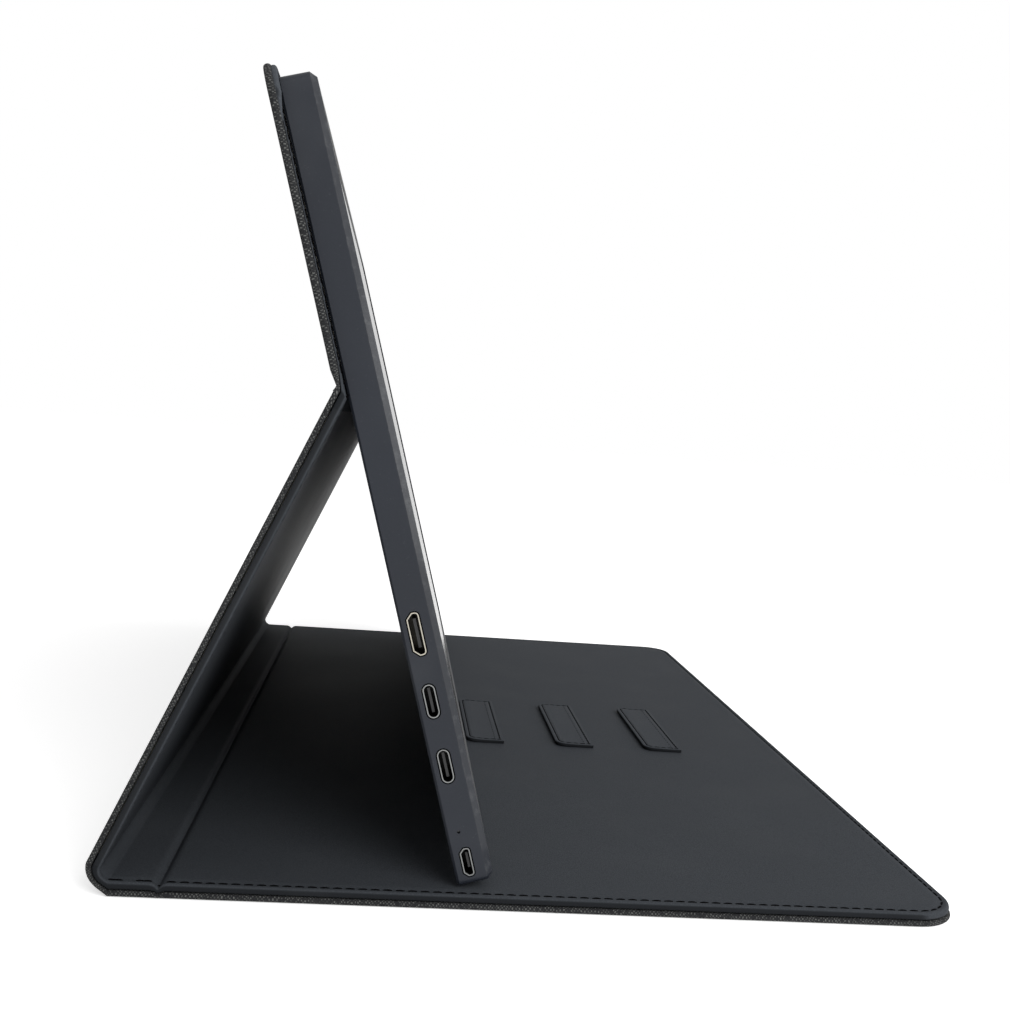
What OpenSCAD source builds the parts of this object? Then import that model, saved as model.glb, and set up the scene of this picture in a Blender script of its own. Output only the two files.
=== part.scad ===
// Portable monitor standing in its folding cover.
// The monitor is glued by its upper back to the cover. The cover folds into a
// triangle: the front panel lies on the table, the leg rises behind it, and the
// monitor's lower edge stands on the front panel against the first of three tabs.
// X runs along the width, the screen faces -Y, +Z is up, and the origin is the
// middle of the footprint, on the table.

/* [Cover panels] */
// How far the cover stands out past the monitor at each side
cover_margin = 4.5; // [3:0.5:8]
// Front panel, from its front edge back to the crease
base_l = 213; // [206:1:222]
// Spine strip, from the crease to where the cover starts to turn up
spine_l = 12.4; // [9:0.2:15]
// Leg, from the turn at the table to the fold behind the monitor
leg_l = 132.2; // [128:0.1:136]
// Corner radius of the front panel in plan
front_corner_r = 13; // [4:1:16]
// Corner radius of the upper panel in plan
upper_corner_r = 9; // [4:1:12]
// Thickness of the cover
cover_t = 3.7; // [3.3:0.1:4.2]
// Thickness of the outer fabric
fabric_t = 1.2; // [0.8:0.1:1.4]
// Thickness of the inner lining
lining_t = 0.9; // [0.7:0.1:1.1]
// Height at which fabric hem and lining hem meet at the cover's edge
hem_split = 1.7; // [1.5:0.1:2.4]
// Width of the hem round each stiffener board
edge_hem = 4; // [3:0.5:6]
// How far the lining's edge stays inside the fabric's edge
lining_inset = 0.8; // [0.2:0.1:1]

/* [Folds] */
// Outer radius of the turn between spine and leg
fold_r = 6; // [5:0.5:7]
// Half the width of the pressed crease between front panel and spine
crease_half = 3; // [2.5:0.1:3.5]
// Depth of the pressed crease
crease_depth = 1.3; // [0.8:0.1:1.5]
// Length of the fold behind the monitor that belongs to the leg
notch_l = 3; // [2.5:0.1:4]
// Length of the fold behind the monitor above its hinge line
notch_rise = 7; // [6:0.1:8]
// Depth of the hinge line below the lining at the fold behind the monitor
fold_depth = 1.5; // [1.2:0.1:1.8]
// Thickness of the cover glued to the monitor
upper_t = 2.4; // [2.4:0.1:3.2]
// How far the cover stands above the monitor's top edge
top_overhang = 4.3; // [2:0.1:6]

/* [Stand tabs] */
// Length of each tab, along the width of the cover
tab_l = 62; // [40:1:80]
// Width of each tab, front to back
tab_w = 14.5; // [12:0.5:17]
// Distance from one tab to the next
tab_pitch = 34.6; // [32:0.1:36]
// Distance from the cover's front edge to the front tab
tab_front = 43.5; // [42:0.5:47]
// Sideways offset of the row of tabs
tab_shift = -6.5; // [-15:0.5:15]
// Thickness of a tab
tab_t = 1.3; // [1:0.1:1.5]
// Height that a tab's free rear edge stands up
tab_lift = 0.6; // [0.6:0.1:1.1]
// Radius of a tab's rear corners
tab_corner_r = 4; // [2:0.5:6]
// Distance from the rear tab's free edge back to the monitor's lowest edge
tab_tuck = 10; // [8.4:0.1:10.6]

/* [Monitor] */
// Width of the monitor
monitor_w = 354; // [352:1:357]
// Height of the monitor
monitor_h = 210; // [208:0.5:213]
// Height on the monitor of the fold behind it
fold_h = 130.5; // [126:0.5:134]
// Corner radius of the monitor in plan
monitor_corner_r = 1.7; // [1.7:0.1:4]
// Bevel round the screen side
front_bevel = 1.6; // [1:0.1:1.6]
// Bevel round the back
back_bevel = 0.6; // [0.3:0.1:0.9]
// Thickness of the side walls
side_wall = 1.5; // [1.2:0.1:1.8]
// Thickness of the back wall
back_wall = 1.2; // [1:0.1:1.4]
// Depth of the space behind the screen
cavity_h = 5; // [4.2:0.1:5]
// Width of the ledge that carries the screen
ledge_w = 3; // [2:0.5:4]
// Width of the frame beside the picture
side_frame = 4.9; // [4.5:0.1:7]
// Width of the frame above the picture
top_frame = 5; // [4.5:0.1:6]
// Width of the frame below the picture
bottom_frame = 11.4; // [9:0.1:14]
// Thickness of the frame's lip over the screen's edge
lip_t = 0.5; // [0.5:0.1:1]

/* [Screen layers] */
// Steel plate behind the screen
plate_t = 0.3; // [0.2:0.1:0.5]
// Reflector sheet
reflector_t = 0.2; // [0.1:0.1:0.3]
// Light guide
guide_t = 0.8; // [0.6:0.1:1]
// Diffuser sheets
diffuser_t = 0.4; // [0.3:0.1:0.5]
// Liquid crystal cell with its polarizers
cell_t = 1.15; // [1:0.05:1.3]
// Adhesive tape under the frame's lip
tape_t = 0.15; // [0.1:0.05:0.2]
// Width of the light bar along the bottom edge
light_bar_w = 3.5; // [2.5:0.5:4.5]

/* [Sockets] */
// Height of the port line above the monitor's back
port_z = 3.7; // [3.6:0.1:3.8]
// Height on the monitor of the large video socket
video_h = 67.8; // [66:0.1:69]
// Height on the monitor of the upper oval socket
oval_upper_h = 49.9; // [48:0.1:51]
// Height on the monitor of the lower oval socket
oval_lower_h = 32.4; // [31:0.1:34]
// Height on the monitor of the pinhole
pinhole_h = 14.6; // [13.5:0.1:16]
// Height on the monitor of the small power socket
power_in_h = 6.2; // [5.8:0.1:6.6]
// Length and height of the large video socket
video_size = [11.3, 3.3];
// Length and height of an oval socket
oval_size = [8.95, 3.2];
// Length and height of the small power socket
power_in_size = [7.5, 2.7];
// Radius of the pinhole
pinhole_r = 0.45; // [0.3:0.05:0.6]
// Wall thickness of a socket's metal shell
shell_t = 0.3; // [0.2:0.05:0.4]
// Radius of the headphone socket's bore
jack_r = 1.8; // [1.76:0.01:1.85]
// Height on the monitor of the headphone socket
jack_h = 16; // [14:0.5:18]

/* [Buttons] */
// Height on the monitor of the power button
power_h = 60; // [58:0.5:63]
// Height on the monitor of the upper menu button
menu_up_h = 45; // [44:0.5:46]
// Height on the monitor of the lower menu button
menu_down_h = 34; // [33:0.5:35]
// Length and height of a button's cap
cap_size = [8, 2.2];
// How far a button stands out of the side
cap_proud = 0.6; // [0.5:0.1:0.9]
// Travel of a button
cap_travel = 0.4; // [0.2:0.05:0.4]

/* [Boards] */
// Length of the main board along the width
board_l = 60; // [50:1:66]
// Height of the main board
board_h = 74; // [72:1:80]
// Thickness of each circuit board
board_t = 0.8; // [0.6:0.1:1]
// Height of the bosses under the main board
boss_t = 0.5; // [0.4:0.1:0.6]
// Radius of a board screw's shank
screw_r = 0.95; // [0.8:0.05:1]
// Length and width of a speaker
speaker_size = [50, 14];
// Distance from the monitor's side to a speaker's middle
speaker_in = 102; // [96:1:104]

/* [Hidden] */
$fn = 48;

// Clearances
rest_gap = 0.3;      // monitor's lowest edge above the lining
join_gap = 0.02;     // butt joint in the covering
glue_t = 0.3;        // glue sheet between cover and monitor
fit_gap = 0.3;       // screen layers in their pocket, boards in their hems
port_gap = 0.35;     // dark ring round each socket
cap_gap = 0.2;       // button in its hole
seat_gap = 0.1;      // button flange and small parts on their seats
thread_gap = 0.05;   // screw in its boss
joint_over = 0.1;    // housing's rim above the foot of the cell
overlap = 0.5;       // how far shapes that are joined run into each other

// Cover, in the row's own frame
cover_w = monitor_w + 2 * cover_margin;
foot_l = base_l + spine_l + fold_r;
front_y = -foot_l / 2;
crease_y = front_y + base_l;
hinge_y = crease_y + spine_l;
hinge_z = fold_r;
turn_end = 0.5;                                  // straight run at each end of the turn
seat_y = front_y + tab_front + 2 * tab_pitch + tab_w + tab_tuck;
seat_z = cover_t + rest_gap;
board_cover_t = cover_t - fabric_t - lining_t;   // stiffener board
upper_board_t = upper_t - fabric_t - lining_t;
upper_split = fabric_t + (hem_split - fabric_t) * upper_board_t / board_cover_t;

// The stand's triangle: turn axis to fold, fold to monitor's edge, edge to turn axis
leg_axis_r = fold_r - cover_t + fold_depth;
fold_off = fold_depth + glue_t;
leg_side = sqrt(leg_l * leg_l + leg_axis_r * leg_axis_r);
back_side = sqrt(fold_h * fold_h + fold_off * fold_off);
seat_dy = hinge_y - seat_y;
seat_dz = seat_z - hinge_z;
foot_side = sqrt(seat_dy * seat_dy + seat_dz * seat_dz);
turn_corner = acos((leg_side * leg_side + foot_side * foot_side - back_side * back_side)
    / (2 * leg_side * foot_side)) + atan2(seat_dz, seat_dy);
leg_angle = turn_corner - atan2(leg_axis_r, leg_l);
fold_y = hinge_y - leg_side * cos(turn_corner);
fold_z = hinge_z + leg_side * sin(turn_corner);
lean = 90 - atan2(fold_z - seat_z, fold_y - seat_y) - atan2(fold_off, fold_h);
fold_turn = 90 - leg_angle + lean;               // from the leg's direction to the monitor's

// Monitor, in its own frame: X width, Y up from the lower edge, Z from back to front
plate_z = back_wall + cavity_h;
reflector_z = plate_z + plate_t;
guide_z = reflector_z + reflector_t;
diffuser_z = guide_z + guide_t;
cell_z = diffuser_z + diffuser_t;
frame_z = cell_z + joint_over;
tape_z = cell_z + cell_t;
lip_z = tape_z + tape_t;
monitor_t = lip_z + lip_t;
pocket_w = monitor_w - 2 * side_wall;
pocket_h = monitor_h - 2 * side_wall;
layer_w = pocket_w - 2 * fit_gap;
layer_y0 = side_wall + fit_gap;
layer_y1 = monitor_h - layer_y0;
picture_w = monitor_w - 2 * side_frame;
picture_h = monitor_h - top_frame - bottom_frame;
picture_y0 = bottom_frame;
side_x = monitor_w / 2;
inner_x = side_x - side_wall;
board_z = back_wall + boss_t;
board_x0 = -inner_x + fit_gap;
board_y0 = side_wall + 0.5;
screw_inset = 4;                                 // board screw from the board's edge
socket_l = 7.2;                                  // depth of the small sockets
tongue_l = 5.2;                                  // tongue inside a socket
jack_l = 13;                                     // headphone socket along the width
jack_body_w = 6;
jack_end = 1;                                    // closed end of the headphone socket
jack_wall = 0.3;
jack_z = back_wall + cavity_h / 2;
flange_t = 0.8;
flange_rim = 0.5;
switch_l = 2.6;                                  // switch between button and its board
wire_r = 0.45;
ribbon_t = 0.2;
flange_x = inner_x - seat_gap - flange_t;
switch_x = flange_x - cap_travel - seat_gap;
button_board_x = switch_x - switch_l - board_t;
speaker_x = side_x - speaker_in;
speaker_y = 29;
driver_y = [6, 18];                              // driver board, low and high edge
driver_w = 200;
ribbon_y = 40;                                   // button ribbon on the back wall
magnet_r = 5;

// ---- helpers ----

// Rectangle across the width from y0 to y1, with its corners rounded at either end
module panel_outline(w, y0, y1, r0 = 0, r1 = 0) {
    translate([-w / 2, y0 + r0]) square([w, y1 - y0 - r0 - r1]);
    if (r0 > 0) {
        translate([-w / 2 + r0, y0]) square([w - 2 * r0, r0 + overlap]);
        for (side = [-1, 1])
            translate([side * (w / 2 - r0), y0 + r0]) circle(r0);
    }
    if (r1 > 0) {
        translate([-w / 2 + r1, y1 - r1 - overlap]) square([w - 2 * r1, r1 + overlap]);
        for (side = [-1, 1])
            translate([side * (w / 2 - r1), y1 - r1]) circle(r1);
    }
}

// Plate across the width, from y0 to y1 and z0 to z1
module plate(w, y0, y1, z0, z1, r0 = 0, r1 = 0) {
    translate([0, 0, z0]) linear_extrude(z1 - z0) panel_outline(w, y0, y1, r0, r1);
}

// Outline in the YZ plane run along X from x0 to x1
module along_x(x0, x1) {
    translate([x0, 0, 0]) rotate([90, 0, 90]) linear_extrude(x1 - x0) children();
}

// Box from its low corner to its high corner
module block(low, high) {
    translate(low) cube(high - low);
}

// Plate with rounded corners whose edge goes straight up by side_h and then slopes in by c
module sloped_plate(w, l, r, c, side_h) {
    top = side_h + c;
    translate([0, l - r, 0]) rotate([90, 0, 0]) linear_extrude(l - 2 * r)
        polygon([[-w / 2, 0], [w / 2, 0], [w / 2, side_h], [w / 2 - c, top],
            [c - w / 2, top], [-w / 2, side_h]]);
    along_x(-w / 2 + r, w / 2 - r)
        polygon([[0, 0], [l, 0], [l, side_h], [l - c, top], [c, top], [0, side_h]]);
    for (side = [-1, 1], y = [r, l - r])
        translate([side * (w / 2 - r), y, 0]) rotate_extrude()
            polygon([[0, 0], [r, 0], [r, side_h], [r - c, top], [0, top]]);
}

// Leg frame: Y up the leg from the turn, Z towards the lining, origin on the turn axis
module on_leg() {
    translate([0, hinge_y, hinge_z]) rotate([180 - leg_angle, 0, 0]) children();
}

// Monitor frame: Y up the monitor from its lower edge, Z from its back to the screen
module on_monitor() {
    translate([0, seat_y, seat_z]) rotate([90 - lean, 0, 0]) children();
}

// Points of the leg's and the monitor's frames, as [y, z] in the row's frame
function leg_point(y, z) = [
    hinge_y - y * cos(leg_angle) - z * sin(leg_angle),
    hinge_z + y * sin(leg_angle) - z * cos(leg_angle)];
function monitor_point(y, z) = [
    seat_y + y * sin(lean) - z * cos(lean),
    seat_z + y * cos(lean) + z * sin(lean)];

// ---- cover layers, shared by the four panels ----

// Corner radius of a panel's pocket, from the panel's own and the hem between them
function pocket_r(r, hem) = r > hem + overlap ? r - hem : 0;

// Fabric of one panel with the pocket that its board lies in
module fabric_layer(y0, y1, z0, split, r0, r1, hem0, hem1) {
    difference() {
        plate(cover_w, y0, y1, z0, z0 + split, r0, r1);
        plate(cover_w - 2 * edge_hem, y0 + hem0, y1 - hem1,
            z0 + fabric_t, z0 + split + overlap, pocket_r(r0, hem0), pocket_r(r1, hem1));
    }
}

// Lining of one panel with its half of the board's pocket
module lining_layer(y0, y1, z0, split, t, r0, r1, hem0, hem1) {
    inset0 = r0 > 0 ? lining_inset : 0;
    inset1 = r1 > 0 ? lining_inset : 0;
    difference() {
        plate(cover_w - 2 * lining_inset, y0 + inset0, y1 - inset1,
            z0 + split, z0 + t, r0 - inset0, r1 - inset1);
        plate(cover_w - 2 * edge_hem, y0 + hem0, y1 - hem1,
            z0 + split - overlap, z0 + t - lining_t, pocket_r(r0, hem0), pocket_r(r1, hem1));
    }
}

// Stiffener board of one panel
module board_layer(y0, y1, z0, t, hem0, hem1, r0 = 0, r1 = 0) {
    plate(cover_w - 2 * edge_hem - 2 * fit_gap, y0 + hem0 + fit_gap, y1 - hem1 - fit_gap,
        z0 + fabric_t, z0 + t - lining_t,
        pocket_r(r0, hem0 + fit_gap), pocket_r(r1, hem1 + fit_gap));
}

// ---- front panel ----

base_y1 = crease_y - crease_half;
inner_hem = 1;                                   // hem beside a fold

module base_fabric() {
    color("#33353a")
        fabric_layer(front_y, base_y1, 0, hem_split, front_corner_r, 0, edge_hem, inner_hem);
}

magnet_y = front_y + edge_hem + magnet_r + 4;
magnet_x = cover_w / 2 - edge_hem - magnet_r - 30;

module base_board() {
    color("#8c8577") difference() {
        board_layer(front_y, base_y1, 0, cover_t, edge_hem, inner_hem, front_corner_r);
        for (side = [-1, 1])
            translate([side * magnet_x, magnet_y, 0]) cylinder(r = magnet_r + seat_gap, h = cover_t);
    }
}

module closure_magnets() {
    color("#b8bcc2") for (side = [-1, 1])
        translate([side * magnet_x, magnet_y, fabric_t])
            cylinder(r = magnet_r, h = board_cover_t);
}

module base_lining() {
    color("#3c3d41")
        lining_layer(front_y, base_y1, 0, hem_split, cover_t,
            front_corner_r, 0, edge_hem, inner_hem);
}

// ---- tabs: flat at the sewn front edge, standing up at the free rear edge ----

module tab(row) {
    y0 = front_y + tab_front + row * tab_pitch;
    color("#3a3b3f") intersection() {
        translate([tab_shift, 0, cover_t])
            linear_extrude(tab_lift + tab_t + overlap)
                panel_outline(tab_l, y0, y0 + tab_w, 0, tab_corner_r);
        along_x(tab_shift - tab_l, tab_shift + tab_l)
            polygon([[y0, cover_t], [y0 + tab_w / 3, cover_t],
                [y0 + tab_w, cover_t + tab_lift],
                [y0 + tab_w, cover_t + tab_lift + tab_t], [y0 + tab_w / 3, cover_t + tab_t],
                [y0, cover_t + tab_t]]);
    }
}
module tab_front_row() { tab(0); }
module tab_middle_row() { tab(1); }
module tab_rear_row() { tab(2); }

// ---- crease between front panel and spine ----

crease_w = cover_w - 2 * lining_inset;

module crease_fabric() {
    color("#33353a")
        plate(cover_w, crease_y - crease_half + join_gap, crease_y + crease_half - join_gap,
            0, fabric_t);
}

module crease_lining() {
    reach = crease_half - join_gap;
    color("#37383c") along_x(-crease_w / 2, crease_w / 2)
        translate([crease_y, 0])
            polygon([[-reach, fabric_t], [reach, fabric_t], [reach, cover_t],
                [reach / 8, cover_t - crease_depth], [-reach / 8, cover_t - crease_depth],
                [-reach, cover_t]]);
}

// ---- spine ----

spine_y0 = crease_y + crease_half;
spine_y1 = hinge_y - turn_end;

module spine_fabric() {
    color("#33353a")
        fabric_layer(spine_y0, spine_y1, 0, hem_split, 0, 0, inner_hem, inner_hem);
}
module spine_board() {
    color("#8c8577")
        board_layer(spine_y0, spine_y1, 0, cover_t, inner_hem, inner_hem);
}
module spine_lining() {
    color("#3c3d41")
        lining_layer(spine_y0, spine_y1, 0, hem_split, cover_t, 0, 0, inner_hem, inner_hem);
}

// ---- turn between spine and leg: an arc about the turn axis ----

// Ring sector from the spine round to the leg, between two radii, with straight ends
module turn_outline(r_in, r_out) {
    swing = 180 - leg_angle;
    run = turn_end - join_gap;
    translate([hinge_y, hinge_z]) {
        intersection() {
            difference() {
                circle(r_out);
                circle(r_in);
            }
            polygon([[0, 0], [0, -4 * r_out],
                4 * r_out * [sin(swing / 3), -cos(swing / 3)],
                4 * r_out * [sin(swing * 2 / 3), -cos(swing * 2 / 3)],
                4 * r_out * [sin(swing), -cos(swing)]]);
        }
        translate([-run, -r_out]) square([run + join_gap, r_out - r_in]);
        rotate(swing) translate([-join_gap, -r_out]) square([run + join_gap, r_out - r_in]);
    }
}

module turn_fabric() {
    color("#33353a") along_x(-cover_w / 2, cover_w / 2)
        turn_outline(fold_r - fabric_t, fold_r);
}
module turn_lining() {
    color("#37383c") along_x(-crease_w / 2, crease_w / 2)
        turn_outline(fold_r - cover_t, fold_r - fabric_t);
}

// ---- leg ----

leg_y0 = turn_end;
leg_y1 = leg_l - notch_l;

module leg_fabric() {
    color("#33353a") on_leg()
        fabric_layer(leg_y0, leg_y1, -fold_r, hem_split, 0, 0, inner_hem, inner_hem);
}
module leg_board() {
    color("#8c8577") on_leg()
        board_layer(leg_y0, leg_y1, -fold_r, cover_t, inner_hem, inner_hem);
}
module leg_lining() {
    color("#26272a") on_leg()
        lining_layer(leg_y0, leg_y1, -fold_r, hem_split, cover_t, 0, 0, inner_hem, inner_hem);
}

// ---- fold behind the monitor: pinched in on the fabric side ----

pinch = 0.3;                                     // fold's deepest point behind the hinge line
// How far the leg's outer face runs on past the hinge line, up to that point
notch_tip = ((cover_t - fold_depth) * cos(fold_turn) - pinch) / sin(fold_turn);
fold_point = [fold_y, fold_z];
// Inward normal of the cover, part of the way from the leg to the monitor
function inward(part) = let(a = (1 - part) * (90 - leg_angle) - part * lean)
    [-cos(a), -sin(a)];

module notch_fabric() {
    y0 = leg_y1 + join_gap;
    y1 = fold_h + notch_rise - join_gap;
    color("#33353a") along_x(-cover_w / 2, cover_w / 2)
        polygon([leg_point(y0, -fold_r), leg_point(y0, -fold_r + fabric_t),
            fold_point, monitor_point(y1, -glue_t - upper_t + fabric_t),
            monitor_point(y1, -glue_t - upper_t), leg_point(leg_l + notch_tip, -fold_r)]);
}

module notch_lining() {
    y0 = leg_y1 + join_gap;
    y1 = fold_h + notch_rise - join_gap;
    color("#37383c") along_x(-crease_w / 2, crease_w / 2)
        polygon(concat([leg_point(y0, -fold_r + fabric_t), leg_point(y0, -fold_r + cover_t)],
            [for (part = [0:0.125:1]) fold_point + fold_depth * inward(part)],
            [monitor_point(y1, -glue_t), monitor_point(y1, -glue_t - upper_t + fabric_t),
            fold_point]));
}

// ---- upper panel, glued to the monitor's back ----

upper_y0 = fold_h + notch_rise;
upper_y1 = monitor_h + top_overhang;
upper_z = -glue_t - upper_t;

module upper_fabric() {
    color("#33353a") on_monitor()
        fabric_layer(upper_y0, upper_y1, upper_z, upper_split,
            0, upper_corner_r, inner_hem, edge_hem);
}
module upper_board() {
    color("#8c8577") on_monitor()
        board_layer(upper_y0, upper_y1, upper_z, upper_t, inner_hem, edge_hem, 0, upper_corner_r);
}
module upper_lining() {
    color("#37383c") on_monitor()
        lining_layer(upper_y0, upper_y1, upper_z, upper_split, upper_t,
            0, upper_corner_r, inner_hem, edge_hem);
}
module glue_sheet() {
    color("#d9d4c4") on_monitor()
        plate(monitor_w - 2 * edge_hem, upper_y0 + inner_hem, monitor_h - edge_hem, -glue_t, 0);
}

// ---- socket outlines, in the YZ plane about their own middle ----

// Points of a small rounding about its own middle, from one angle to the other
function round_points(middle, r, from, to) =
    [for (i = [0:3]) let (t = from + (to - from) * i / 3) middle + r * [cos(t), sin(t)]];

// Two corners on the back side are cut at 45 degrees and the other two are rounded;
// grow widens the outline
module cut_outline(size, cut, round_r, grow = 0) {
    a = size.x / 2 + grow;
    b = size.y / 2 + grow;
    c = cut + grow * (2 - sqrt(2));
    r = round_r + grow;
    polygon(concat(
        round_points([a - r, b - r], r, 0, 90),
        round_points([r - a, b - r], r, 90, 180),
        [[-a, c - b], [c - a, -b], [a - c, -b], [a, c - b]]));
}

// Oval with round ends
module oval_outline(size, grow = 0) {
    r = size.y / 2 + grow;
    run = size.x / 2 - size.y / 2;
    translate([-run, -r]) square([2 * run, 2 * r]);
    for (side = [-1, 1])
        translate([side * run, 0]) circle(r);
}

video_cut = 1.5;
video_round_r = 1;
power_in_cut = 1.1;
power_in_round_r = 0.8;

module video_outline(grow = 0) {
    translate([video_h, port_z]) cut_outline(video_size, video_cut, video_round_r, grow);
}
module upper_oval_outline(grow = 0) {
    translate([oval_upper_h, port_z]) oval_outline(oval_size, grow);
}
module lower_oval_outline(grow = 0) {
    translate([oval_lower_h, port_z]) oval_outline(oval_size, grow);
}
module power_in_outline(grow = 0) {
    translate([power_in_h, port_z]) cut_outline(power_in_size, power_in_cut, power_in_round_r, grow);
}
module cap_outline(h, grow = 0) {
    translate([h, port_z]) oval_outline(cap_size, grow);
}

// ---- monitor housing ----

module cavity() {
    plate(pocket_w, side_wall, monitor_h - side_wall, plate_z, frame_z + overlap);
    plate(pocket_w - 2 * ledge_w, side_wall + ledge_w, monitor_h - side_wall - ledge_w,
        back_wall, plate_z + overlap);
}

// Room behind the side walls for the sockets, the board and the buttons
module side_bays() {
    block([-inner_x, side_wall, back_wall],
        [-inner_x + ledge_w + overlap, board_y0 + board_h + 1, plate_z + overlap]);
    block([inner_x - ledge_w - overlap, jack_h - 6, back_wall],
        [inner_x, power_h + 10, plate_z + overlap]);
    block([board_x0, side_wall, back_wall],
        [board_x0 + board_l + 1, side_wall + ledge_w + overlap, plate_z + overlap]);
    block([ribbon_x - 1, side_wall, plate_z - 1],
        [ribbon_x + ribbon_w + 1, side_wall + ledge_w + overlap, plate_z + overlap]);
}

module side_holes() {
    along_x(-side_x - overlap, -inner_x + overlap) {
        video_outline(port_gap);
        upper_oval_outline(port_gap);
        lower_oval_outline(port_gap);
        power_in_outline(port_gap);
        translate([pinhole_h, port_z - 0.4]) circle(pinhole_r);
    }
    along_x(inner_x - overlap, side_x + overlap) {
        for (h = [power_h, menu_up_h, menu_down_h])
            cap_outline(h, cap_gap);
        translate([jack_h, jack_z]) circle(jack_r + jack_wall + seat_gap);
    }
}

module grille_slots() {
    for (side = [-1, 1], i = [-4:4])
        block([side * speaker_x + i * 4 - 0.6, speaker_y - 4, -overlap],
            [side * speaker_x + i * 4 + 0.6, speaker_y + 4, back_wall + overlap]);
}

screw_places = [for (x = [screw_inset, board_l - screw_inset], y = [screw_inset, board_h - screw_inset])
    [board_x0 + x + (x < board_l / 2 ? 9 : 0), board_y0 + y]];

module rear_housing() {
    color("#3a3e48") on_monitor() difference() {
        union() {
            difference() {
                translate([0, 0, frame_z]) mirror([0, 0, 1])
                    sloped_plate(monitor_w, monitor_h, monitor_corner_r, back_bevel, frame_z - back_bevel);
                cavity();
                side_bays();
                side_holes();
                grille_slots();
            }
            for (p = screw_places)
                translate([p.x, p.y, back_wall - overlap]) cylinder(r = 2.2, h = boss_t + overlap);
        }
        for (p = screw_places)
            translate([p.x, p.y, back_wall / 2]) cylinder(r = screw_r + thread_gap, h = cavity_h);
    }
}

module front_frame() {
    color("#42464f") on_monitor() difference() {
        translate([0, 0, frame_z])
            sloped_plate(monitor_w, monitor_h, monitor_corner_r, front_bevel,
                monitor_t - frame_z - front_bevel);
        plate(pocket_w, side_wall, monitor_h - side_wall, frame_z - overlap, lip_z);
        plate(picture_w, picture_y0, picture_y0 + picture_h, lip_z - overlap, monitor_t + overlap);
    }
}

// ---- screen layers ----

module frame_tape() {
    color("#1c1c1e") on_monitor() difference() {
        plate(layer_w, layer_y0, layer_y1, tape_z, lip_z);
        plate(picture_w + 1, picture_y0 - 0.5, picture_y0 + picture_h + 0.5,
            tape_z - overlap, lip_z + overlap);
    }
}
module screen_cell() {
    color("#0c0d10") on_monitor() plate(layer_w, layer_y0, layer_y1, cell_z, tape_z);
}
module diffuser() {
    color("#f4f4f0") on_monitor() plate(layer_w, layer_y0, layer_y1, diffuser_z, cell_z);
}

guide_y0 = layer_y0 + light_bar_w;

module light_guide() {
    color("#dfeaf0") on_monitor() plate(layer_w, guide_y0, layer_y1, guide_z, diffuser_z);
}
module light_bar() {
    color("#f2e7b8") on_monitor() plate(layer_w, layer_y0, guide_y0, guide_z, diffuser_z);
}
module reflector() {
    color("#ffffff") on_monitor() plate(layer_w, guide_y0, layer_y1, reflector_z, guide_z);
}

ribbon_w = 8;
ribbon_x = driver_w / 2 - ribbon_w - 2;          // near the driver board's end

module screen_plate() {
    color("#a9adb3") on_monitor() difference() {
        plate(layer_w, layer_y0, layer_y1, plate_z, reflector_z);
        block([ribbon_x - 1, layer_y0 - overlap, plate_z - overlap],
            [ribbon_x + ribbon_w + 1, guide_y0, reflector_z + overlap]);
    }
}

// ---- electronics ----

module driver_board() {
    color("#1f5b3a") on_monitor()
        plate(driver_w, driver_y[0], driver_y[1], plate_z - board_t, plate_z);
}

// Gap in the main board where a socket's shell sinks into it
module board_notches() {
    for (h_l = [[video_h, video_size.x], [oval_upper_h, oval_size.x],
            [oval_lower_h, oval_size.x], [power_in_h, power_in_size.x]])
        block([board_x0 - overlap, h_l[0] - h_l[1] / 2 - fit_gap, board_z - overlap],
            [-side_x + socket_l + fit_gap, h_l[0] + h_l[1] / 2 + fit_gap, board_z + board_t + overlap]);
}

module main_board() {
    color("#1f5b3a") on_monitor() difference() {
        block([board_x0, board_y0, board_z],
            [board_x0 + board_l, board_y0 + board_h, board_z + board_t]);
        board_notches();
        for (p = screw_places)
            translate([p.x, p.y, 0]) cylinder(r = screw_r + seat_gap, h = plate_z);
    }
}

chip_top = board_z + board_t;

ribbon_plug = [4, 8, 1];                         // plug of the button ribbon
plug_rim = 1;                                    // from the plug to the board's edge
chip_t = 1;
coil_size = [6, 6, 1.4];

// Square chip with its middle at a share of the board's length and height
module chip(at, size) {
    translate([board_x0 + at.x * board_l - size.x / 2, board_y0 + at.y * board_h - size.y / 2, chip_top])
        cube(size);
}

module board_chips() {
    color("#17181a") on_monitor() {
        chip([0.58, 0.31], [10, 10, chip_t]);
        chip([0.8, 0.5], [8, 12, chip_t]);
        chip([0.35, 0.15], coil_size);
        chip([0.54, 0.11], [5, 4, chip_t]);
        translate([board_x0 + board_l - ribbon_plug.x - plug_rim, ribbon_y - ribbon_plug.y / 2, chip_top])
            cube(ribbon_plug);
    }
}

can_size = [28, 18, 2];
can_x = board_x0 + (board_l - can_size.x) / 2;
can_y = board_y0 + board_h - can_size.y - 2 * screw_inset;

module shield_can() {
    color("#c3c7cc") on_monitor() difference() {
        translate([can_x, can_y, chip_top]) cube(can_size);
        translate([can_x + shell_t, can_y + shell_t, chip_top - overlap])
            cube([can_size.x - 2 * shell_t, can_size.y - 2 * shell_t, can_size.z + overlap - shell_t]);
    }
}

module board_screws() {
    color("#9aa0a8") on_monitor() for (p = screw_places) translate([p.x, p.y, 0]) {
        translate([0, 0, back_wall / 2 + seat_gap])
            cylinder(r = screw_r, h = chip_top - back_wall / 2);
        translate([0, 0, chip_top + seat_gap / 2]) cylinder(r = 1.75, h = 0.7);
    }
}

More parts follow.
